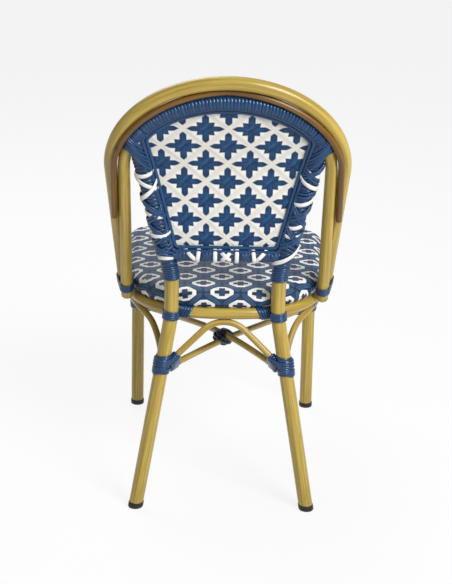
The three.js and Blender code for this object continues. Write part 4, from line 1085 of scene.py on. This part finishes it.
def wound(hubs, reaches, across, rise, turns):
    """A strand wound tight round hubs side by side that move on while its angle makes its turns.
    A hub reaches a across and b along the rise, and touches the strand at
    (a*a*cos, b*b*sin) over the root of (a*cos)^2 + (b*sin)^2. In each direction the strand lies
    on the hub that stands out furthest. Gives the line and its outward directions."""
    angle = 2 * np.pi * np.linspace(0, turns, len(hubs[0]))
    cosine, sine = np.cos(angle)[:, None], np.sin(angle)[:, None]
    outward = across * cosine + rise * sine
    points = []
    for hub, reach in zip(hubs, reaches):
        wide, high = reach if isinstance(reach, tuple) else (reach, reach)
        scale = np.sqrt((wide * cosine) ** 2 + (high * sine) ** 2)
        points.append(hub + across * wide ** 2 * cosine / scale + rise * high ** 2 * sine / scale)
    touched = (np.stack(points) * outward).sum(-1).argmax(0)
    return np.stack(points)[touched, np.arange(len(angle))], outward


def panel_edge(side, z):
    """The woven back's side edge at a height, in the middle of its thickness."""
    return np.stack([side * panel_side_x(z), back_y(z), np.asarray(z, float)], -1)


def across_to(near, far, rise):
    """The direction from one hub to another, square to the rise."""
    gap = far - near
    return unit(gap - rise * (gap * rise).sum(-1, keepdims=True))


def drifting_tone(turns, count, swing):
    """A tone for each point of a strand of eight sides: a half plus the swing times a slow sine."""
    return np.repeat((0.5 + swing * np.sin(np.linspace(0, turns * 2.4, count)))[:, None], 8, 1)


wrap_core = evenly(inner_hoop_point(np.linspace(-wrap_end, wrap_end, 3000)), wrap_turns * 22 + 1)
wrap_across = unit(np.cross(back_normal, np.gradient(wrap_core, axis=0)))
wrap_turn = wound([wrap_core], [hoop_reach], wrap_across, back_normal, wrap_turns)
wrap_tone = drifting_tone(wrap_turns, len(wrap_core), 0.4)
top_wrap = Piece("hoop_wrapping").strand(*wrap_turn, wrap_strand, wrap_depth, tone=wrap_tone)
top_wrap.finish(blue_cane, "blue_cane", "top_wrap")

corner_angle = panel_corner()
corner_height = inside_hoop(corner_angle, panel_top_clear)[2]
angles = np.linspace(gusset_start, gusset_end, gusset_turns * 36 + 1)
for side, word in sides:
    hoop_hub = inner_hoop_point(side * angles)
    # The sheet's top edge as far as its corner, then down its side edge
    top_hub = inside_hoop(side * angles, panel_top_clear)
    top_hub[:, 1] = back_y(top_hub[:, 2])
    beyond = np.clip((angles - corner_angle) / (gusset_end - corner_angle), 0, 1)
    side_hub = panel_edge(side, corner_height + (gusset_low - corner_height) * beyond)
    edge_hub = np.where((angles < corner_angle)[:, None], top_hub, side_hub)
    # Where the line from hoop to edge crosses the stile, as a share of that line
    gap = edge_hub - hoop_hub
    stile_x = rear_leg_point(side, hoop_hub[:, 2])[:, 0]
    crossed = (stile_x - hoop_hub[:, 0]) / (gap[:, 0] - side * stile_slope * gap[:, 2])
    stile_hub = hoop_hub + gap * np.clip(crossed, 0, 0.75)[:, None]
    across = across_to(hoop_hub, edge_hub, back_normal)
    # A tube that the turns cross at a slant is an oval to them, longer by one over the cosine
    stile_square = unit(np.array([1, 0, -side * stile_slope]))
    hoop_square = unit(np.cross(np.gradient(hoop_hub, axis=0), back_normal))
    hoop_wide = hoop_reach / np.abs((across * hoop_square).sum(-1, keepdims=True))
    stile_over = stile_reach + strand_depth * 0.9
    stile_share = np.clip(crossed * 4, 0, 1)[:, None]
    stile_oval = stile_over / np.abs(across @ stile_square)[:, None]
    stile_wide = hoop_reach + (stile_oval - hoop_reach) * stile_share
    stile_high = hoop_reach + (stile_over - hoop_reach) * stile_share
    reaches = ((hoop_wide, hoop_reach), (stile_wide, stile_high), edge_reach)
    gusset_turn = wound((hoop_hub, stile_hub, edge_hub), reaches, across, back_normal, gusset_turns)
    gusset_tone = drifting_tone(gusset_turns, len(angles), 0.5)
    gusset = Piece(f"corner_wrapping_{word}")
    # What lies under the turns: the cane's colour along the hoop and up the stile's end
    under_hoop = inner_hoop_point(side * np.linspace(gusset_start - 0.04, gusset_end, 40))
    gusset.tube(under_hoop, back_normal, inner_diameter + sleeve_growth, tone=0.0)
    under_stile = rear_leg_point(side, np.linspace(gusset_sleeve_low, gusset_sleeve_high, 8))
    gusset.tube(under_stile, y_axis, leg_diameter + sleeve_growth, tone=0.0)
    gusset.strand(*gusset_turn, gusset_strand, gusset_depth, tone=gusset_tone)
    gusset.finish(blue_cane, "blue_cane", f"gusset_{word}")


# Windings on the stiles and the rail
# Blue cane closely wound round the foot of each stile and on up it, with blue and white strands
# crossed over that and through the edge of the woven back. The rail is wound in blue too, with
# white and blue strands laced over it in crosses.
white_strand = cane("white_cane", (238, 238, 235), (222, 221, 214), (246, 246, 244))
lace_width, lace_depth, lace_reach_out = 0.0090, strand_depth + 0.0008, stile_reach + strand_depth
collar_low, collar_high, collar_turns, collar_width = 0.4765, 0.5055, 6, 0.0050
coil_low, coil_high, coil_turns, coil_width, coil_depth = 0.5065, 0.726, 29, 0.0080, strand_depth + 0.0002
coil_sleeve_low, coil_sleeve_high, coil_sleeve_growth = 0.500, 0.730, 0.0014
# A blue turn is two strands: how far below or above its height each lies, and how light it is
pair_strands = ((-0.0033, 0.948), (0.0033, 0.552))
pair_width, pair_depth, pair_lift = 0.0060, strand_depth + 0.0006, 0.0018
# The turns' heights at the stile's outer side and at the sheet's edge; a white one also has its lift
blue_turns = {
    1: [(0.644, 0.606), (0.592, 0.634), (0.596, 0.560), (0.548, 0.590), (0.552, 0.528), (0.532, 0.556)],
    -1: [(0.676, 0.716), (0.716, 0.690), (0.661, 0.657), (0.589, 0.642), (0.632, 0.604), (0.552, 0.600),
         (0.580, 0.548), (0.540, 0.566)],
}
white_turns = {
    1: [(0.687, 0.660, 0.0014), (0.638, 0.681, 0.0032), (0.688, 0.6975, 0.0010), (0.616, 0.606, 0),
        (0.571, 0.575, 0.0024)],
    -1: [(0.690, 0.712, 0), (0.666, 0.693, 0.0024), (0.646, 0.636, 0.0006), (0.600, 0.5885, 0.0006),
         (0.575, 0.574, 0), (0.549, 0.5130, 0.0028)],
}
level_turn_height, level_turn_tilt, level_turn_width = 0.5225, 0.05, 0.0080


def stile_turn(side, outer_z, edge_z, reach):
    """A closed turn round a stile and the sheet's edge beside it. Its outline square to the
    stile is spread evenly by length, and its height goes with the arc sine of the cosine of that
    length from the edge to the outer side and back, which is nearly straight."""
    middle = (outer_z + edge_z) / 2
    hubs = (rear_leg_point(side, middle), panel_edge(side, middle))
    hubs = [np.broadcast_to(hub, (240, 3)) for hub in hubs]
    across = across_to(*hubs, back_normal)
    turn = np.hstack(wound(hubs, (reach, edge_reach * 0.6), across, back_normal, 1))
    lengths = lengths_along(turn[:, :3])
    share = np.arange(56) / 56
    turn = np.stack([np.interp(share * lengths[-1], lengths, turn[:, k]) for k in range(6)], -1)
    fall = -np.arcsin(0.97 * np.cos(2 * np.pi * share)) / (2 * np.arcsin(0.97))
    lean = (rear_leg_point(side, middle + 0.01) - rear_leg_point(side, middle - 0.01)) / 0.02
    return turn[:, :3] + lean * (fall * (outer_z - edge_z))[:, None], turn[:, 3:]


def level_turn(side, z, tilt):
    """One closed turn round a stile alone, tilted down towards its outer side."""
    angle = 2 * np.pi * np.arange(36) / 36
    centre = rear_leg_point(side, z - tilt * side * np.cos(angle) * lace_reach_out)
    outward = np.stack([np.cos(angle), np.sin(angle), 0 * angle], -1)
    return centre + outward * lace_reach_out, outward


def stile_coil(side, low, high, turns, per_turn):
    """A strand wound round a stile alone from one height to another."""
    stile_line = rear_leg_point(side, np.linspace(low, high, turns * per_turn + 1))
    return wound([stile_line], [stile_reach], x_axis, y_axis, turns)


for side, word in sides:
    collar = Piece(f"collar_winding_{word}")
    collar_turn = stile_coil(side, collar_low, collar_high, collar_turns, 28)
    collar.strand(*collar_turn, collar_width, lace_depth, 10, tone=0.45)
    collar.finish(blue_cane, "blue_cane", f"stile_collar_{word}")

    lacing = Piece(f"stile_winding_{word}")
    coil_sleeve = rear_leg_point(side, np.linspace(coil_sleeve_low, coil_sleeve_high, 40))
    lacing.tube(coil_sleeve, y_axis, leg_diameter + coil_sleeve_growth, tone=0.0)
    coil_turn = stile_coil(side, coil_low, coil_high, coil_turns, 24)
    lacing.strand(*coil_turn, coil_width, coil_depth, 10, tone=0.15)
    for outer_z, edge_z in blue_turns[side]:
        for step, tone in pair_strands:
            turn = stile_turn(side, outer_z + step, edge_z + step, lace_reach_out + pair_lift)
            lacing.turn(turn, pair_width, pair_depth, tone)
    lacing.finish(blue_cane, "blue_cane", f"stile_lacing_{word}")

    white_lace = Piece(f"white_lacing_{word}")
    for outer_z, edge_z, lift in white_turns[side]:
        turn = stile_turn(side, outer_z, edge_z, lace_reach_out + lift)
        white_lace.turn(turn, lace_width, lace_depth, 0.6)
    if side > 0:
        turn = level_turn(side, level_turn_height, level_turn_tilt)
        white_lace.turn(turn, level_turn_width, strand_depth, 0.6)
    white_lace.finish(white_strand, "white_weave")

rail_reach_out, rail_through = strand_reach(rail_diameter / 2), panel_bottom + 0.002
rail_span = rail_reach - leg_diameter / 2 - 0.001
rail_coil_turns, rail_coil_width, rail_blue_width = 34, 0.0072, 0.0056
rail_white_width, rail_white_lift = lace_width * 0.9, strand_depth * 1.6
# Where each strand passes under the rail and where it passes through the sheet, from the middle
white_rail_turns = [(0, 0.017), (0, -0.017), (-0.021, -0.021), (0.021, 0.021),
                    (0.054, 0.052), (0.066, 0.082), (-0.054, -0.052), (-0.066, -0.082)]
blue_rail_turns = [(0.035, 0.049), (0.035, 0.022), (0.041, 0.055), (0.041, 0.028),
                   (0.092, 0.106), (0.092, 0.079), (0.099, 0.113), (0.099, 0.086)]


def rail_turn(low_x, high_x, reach):
    """A closed turn round the rail at one place and through the foot of the sheet at another."""
    count = 44
    rail_hub = np.broadcast_to((low_x, rail_y, rail_height), (count, 3))
    edge_hub = np.broadcast_to((high_x, back_y(rail_through), rail_through), (count, 3))
    across = across_to(rail_hub, edge_hub, y_axis)
    return wound((rail_hub, edge_hub), (reach, edge_reach), across, y_axis, (count - 1) / count)


rail_lacing = Piece("white_rail_lacing")
for low_x, high_x in white_rail_turns:
    turn = rail_turn(low_x, high_x, rail_reach_out + rail_white_lift)
    rail_lacing.turn(turn, rail_white_width, strand_depth, 0.6)
rail_lacing.finish(white_strand, "white_weave", "rail_lacing")

rail_wind = Piece("rail_winding")
rail_core = level_bar(rail_span, rail_y, rail_height, rail_coil_turns * 24 + 1)
rail_coil = wound([rail_core], [rail_reach_out], y_axis, z_axis, rail_coil_turns)
rail_wind.strand(*rail_coil, rail_coil_width, strand_depth, tone=0.3)
for side, _ in sides:
    for low_x, high_x in blue_rail_turns:
        turn = rail_turn(side * low_x, side * high_x, rail_reach_out + strand_depth)
        rail_wind.turn(turn, rail_blue_width, strand_depth, 0.8 if low_x > high_x else 0.4)
rail_wind.finish(blue_cane, "blue_cane")


# Lashings
# Blue cane bound round every joint under the seat: level turns round the leg, then slanting
# ones that take in the feet of the rods beside it. The same binds the legs to the ring and the
# hoops' ends to each other. A sleeve of the cane's colour stands for the turns underneath.
lash_width, lash_depth, rod_lash_depth = 0.0054, 0.0026, 0.0034
small_lash_width, small_lash_depth = 0.0050, 0.0030
turn_lift = 0.0018
leg_turn_reach, rod_turn_reach, ring_turn_reach = (
    diameter / 2 + turn_lift for diameter in (leg_diameter, rod_diameter, ring_diameter))
leg_lash_below, leg_lash_above, leg_sleeve_below, leg_sleeve_above = 0.0235, 0.0115, 0.0215, 0.0105
leg_lash_turns, level_lash_turns, lash_tilt_step = 9, 2, 0.05
# Where the slanting turns sit: shares of the way up the leg's turns and lengths along the rods
leg_spots, arch_spots, rod_spots = (
    first + step * np.arange(6) for first, step in ((0.14, 0.12), (0.026, 0.0030), (0.036, 0.0030)))
low_leg_spots, low_rod_spots = (
    first + step * np.arange(3) for first, step in ((0.10, 0.08), (0.028, 0.0060)))
pair_arch_spots, pair_rod_spots, side_rod_spots = (
    first + step * np.arange(5) for first, step in ((0.020, 0.0050), (0.027, 0.0050), (0.010, 0.0030)))
# How far the turns round a pair of rods stand off them, and how much further between them
pair_lifts, pair_bulges = 0.0018 - 0.0004 * np.arange(5), 0.0036 - 0.0008 * np.arange(5)
ring_lash_half, ring_lash_slant, ring_leg_turns = 0.0085, -0.45, 4
# Degrees along the ring from its leg
ring_spots, ring_sleeve_from, ring_sleeve_to = 1.5 * np.arange(8) - 2.5, -3.5, 8.5
hoop_lash_low, hoop_lash_high, hoop_lash_turns, hoop_lash_width = 0.4205, 0.4365, 4, 0.0048


def loop(centre, one, two, radius_one, radius_two, count=40):
    """A closed turn: the centre plus one direction by the cosine and the other by the sine."""
    turn = 2 * np.pi * np.arange(count)[:, None] / count
    outward = one * np.cos(turn) / radius_one + two * np.sin(turn) / radius_two
    return centre + one * radius_one * np.cos(turn) + two * radius_two * np.sin(turn), unit(outward)


def taut(hubs, reaches, across, rise, count=64):
    """A closed turn drawn tight round hubs that stand still."""
    still = [np.broadcast_to(hub, (count, 3)) for hub in hubs]
    return wound(still, reaches, across, rise, (count - 1) / count)


def at_length(line, length):
    """The point of a line at a length from its start, and the line's direction there."""
    lengths, places = lengths_along(line), (length, length + 0.001)
    points = np.stack([np.interp(places, lengths, line[:, k]) for k in range(3)], -1)
    return points[0], unit(points[1] - points[0])


def shade(k):
    """The tone of one of a row of turns: every other one is lighter."""
    return 0.3 + 0.4 * (k % 2)


for side, word in sides:
    for place, leg_point, height, arch, cross_rod, side_rod in (
        ("rear", rear_leg_point, rear_lash_height, rear_arch_line[::side], cross_rod_lines[side],
         side_arch_lines[side]),
        ("front", front_leg_point, front_lash_height, front_arch_line[::side], cross_rod_lines[-side][::-1],
         side_arch_lines[side][::-1]),
    ):
        lash = Piece(f"{place}_leg_binding_{word}")
        low, high = leg_point(side, height - leg_lash_below), leg_point(side, height + leg_lash_above)
        up = unit(high - low)
        inward = unit(np.cross(side * y_axis, up))
        depthwise = np.cross(up, inward)
        sleeve = np.linspace(
            leg_point(side, height - leg_sleeve_below), leg_point(side, height + leg_sleeve_above), 12)
        lash.tube(sleeve, depthwise, leg_diameter + sleeve_growth, tone=0.0)
        # Turns round the leg alone, tilting more and more towards the top
        for k in range(leg_lash_turns):
            centre = low + (high - low) * (k + 0.5) / leg_lash_turns
            tilt = -max(0, k - level_lash_turns) * lash_tilt_step
            one = inward * np.cos(tilt) + up * np.sin(tilt)
            turn = loop(centre, one, depthwise, leg_turn_reach / np.cos(tilt), leg_turn_reach)
            lash.turn(turn, lash_width, lash_depth, shade(k))
        # Turns round the leg and both rods, then a few round the leg and the lower rod
        for k, spot in enumerate(leg_spots):
            arch_hub, _ = at_length(arch, arch_spots[k])
            rod_hub, _ = at_length(cross_rod, rod_spots[k])
            leg_hub = low + (high - low) * spot
            across = across_to(leg_hub, (arch_hub + rod_hub) / 2, depthwise)
            reaches = (leg_turn_reach + lash_depth * 0.7, rod_turn_reach, rod_turn_reach)
            turn = taut((leg_hub, arch_hub, rod_hub), reaches, across, depthwise)
            lash.turn(turn, lash_width, lash_depth, shade(k))
        for k, spot in enumerate(low_leg_spots):
            rod_hub, _ = at_length(cross_rod, low_rod_spots[k])
            leg_hub = low + (high - low) * spot
            reaches = (leg_turn_reach + lash_depth * 0.5, rod_turn_reach + 0.0010)
            turn = taut((leg_hub, rod_hub), reaches, across_to(leg_hub, rod_hub, depthwise), depthwise)
            lash.turn(turn, lash_width, lash_depth, shade(k))
        # Turns round the two rods, which bulge between them, and others round the side arch's foot
        for k, lift in enumerate(pair_lifts):
            arch_hub, arch_run = at_length(arch, pair_arch_spots[k])
            rod_hub, rod_run = at_length(cross_rod, pair_rod_spots[k])
            run = unit(arch_run + rod_run)
            across = across_to(rod_hub, arch_hub, run)
            reach = rod_turn_reach + lift
            hubs = (arch_hub, (arch_hub + rod_hub) / 2, rod_hub)
            reaches = (reach, reach + pair_bulges[k], reach)
            turn = taut(hubs, reaches, across, np.cross(run, across), 40)
            lash.turn(turn, lash_width, rod_lash_depth, shade(k + 1))
            hub, run = at_length(side_rod, side_rod_spots[k])
            one = unit(np.cross(run, z_axis))
            turn = loop(hub, one, np.cross(run, one), reach, reach, 28)
            lash.turn(turn, small_lash_width, small_lash_depth, shade(k + 1))
        lash.finish(blue_cane, "blue_cane", f"{place}_leg_lash_{word}")

for side, word in sides:
    across_chair = np.array([side, 1, 1])
    for place, station, turning, leg_point in (
        ("rear", rear_leg_angle, 1, rear_leg_point), ("front", front_leg_angle, -1, front_leg_point),
    ):
        lash = Piece(f"{place}_ring_binding_{word}")
        low, high = (leg_point(side, seat_height + step) for step in (-ring_lash_half, ring_lash_half))
        up = unit(high - low)
        level_x = unit(np.cross(y_axis, up))
        for k in range(ring_leg_turns):
            centre = low + (high - low) * (k + 0.5) / ring_leg_turns
            turn = loop(centre, level_x, np.cross(up, level_x), leg_turn_reach, leg_turn_reach)
            lash.turn(turn, small_lash_width, lash_depth, shade(k))
        sleeve = ring_point(station + turning * np.linspace(ring_sleeve_from, ring_sleeve_to, 16))
        lash.tube(sleeve * across_chair, z_axis, ring_diameter + sleeve_growth, tone=0.0)
        for k, spot in enumerate(ring_spots):
            degrees = station + turning * spot
            outwards = ring_normal(degrees) * across_chair
            along = np.cross(outwards, z_axis) * side * turning
            upright = z_axis * np.cos(ring_lash_slant) + along * np.sin(ring_lash_slant)
            high_reach = ring_turn_reach / np.cos(ring_lash_slant)
            centre = ring_point(degrees) * across_chair
            turn = loop(centre, outwards, upright, ring_turn_reach, high_reach, 32)
            lash.turn(turn, lash_width, lash_depth, shade(k))
        lash.finish(blue_cane, "blue_cane", f"{place}_ring_lash_{word}")


def hoop_at_height(hoop_point_at, end_height, side, z):
    """A hoop's centre at a height on its straight side."""
    share = (hoop_shoulder - z) / (hoop_shoulder - end_height)
    return hoop_point_at(side * np.pi * (1 + share) / 2)


hoop_lash_heights = np.linspace(hoop_lash_low, hoop_lash_high, hoop_lash_turns * 34 + 1)
for side, word in sides:
    inner = hoop_at_height(inner_hoop_point, inner_end_height, side, hoop_lash_heights)
    along = unit(np.gradient(inner, axis=0))
    gap = hoop_at_height(outer_hoop_point, outer_end_height, side, hoop_lash_heights) - inner
    outer_heights = hoop_lash_heights - (gap * along).sum(-1) / along[:, 2]
    outer = hoop_at_height(outer_hoop_point, outer_end_height, side, outer_heights)
    across = unit(outer - inner)
    reaches = (strand_reach(inner_diameter / 2 + fit), strand_reach(outer_diameter / 2 + fit))
    turn = wound((inner, outer), reaches, across, np.cross(along, across), hoop_lash_turns)
    lash = Piece(f"hoop_end_binding_{word}").strand(*turn, hoop_lash_width, strand_depth)
    lash.finish(blue_cane, "blue_cane", f"hoop_end_lash_{word}")


# Centre lashing
# A tight knot of darker cane where the rods cross. Turns slant one way and then the other over
# a core of the same cane until they make a ball.
navy_cane = cane("navy_cane", (14, 38, 74), (3, 12, 32), (44, 78, 118))
knot_reach, knot_width, knot_depth = np.array([0.0196, 0.0185, 0.0150]), 0.0060, 0.0030
core_inset, core_rows, core_columns = 0.001, 14, 24
knot_slant, knot_turns, turn_spacing = 0.62, 4, 0.46
core_share = np.linspace(-0.98, 0.98, core_rows)[:, None]
core_round = np.sqrt(1 - core_share ** 2)
core_turn = 2 * np.pi * np.arange(core_columns) / core_columns
core_deep, core_high = core_round * np.cos(core_turn), core_round * np.sin(core_turn)
core = np.stack([core_share + 0 * core_turn, core_deep, core_high], -1)
knot = Piece("centre_knot")
core_lengths = np.zeros((core_rows, core_columns + 1, 2))
knot.add(crossing + core * (knot_reach - core_inset), core_lengths, tone=0.0)
for slant, growth in ((knot_slant, 1.05), (-knot_slant, 1.13)):
    normal = np.array([np.sin(slant), 0, np.cos(slant)])
    level = np.array([np.cos(slant), 0, -np.sin(slant)])
    for k in range(knot_turns):
        offset = turn_spacing * (k - (knot_turns - 1) / 2)
        radius = np.sqrt(1 - offset ** 2)
        ball, _ = loop(normal * offset, level, y_axis, radius, radius, 48)
        turn = (crossing + ball * knot_reach * growth, ball / knot_reach)
        knot.turn(turn, knot_width, knot_depth, 0.25 + 0.5 * (k % 2))
knot.finish(navy_cane, "blue_cane", "centre_lash")
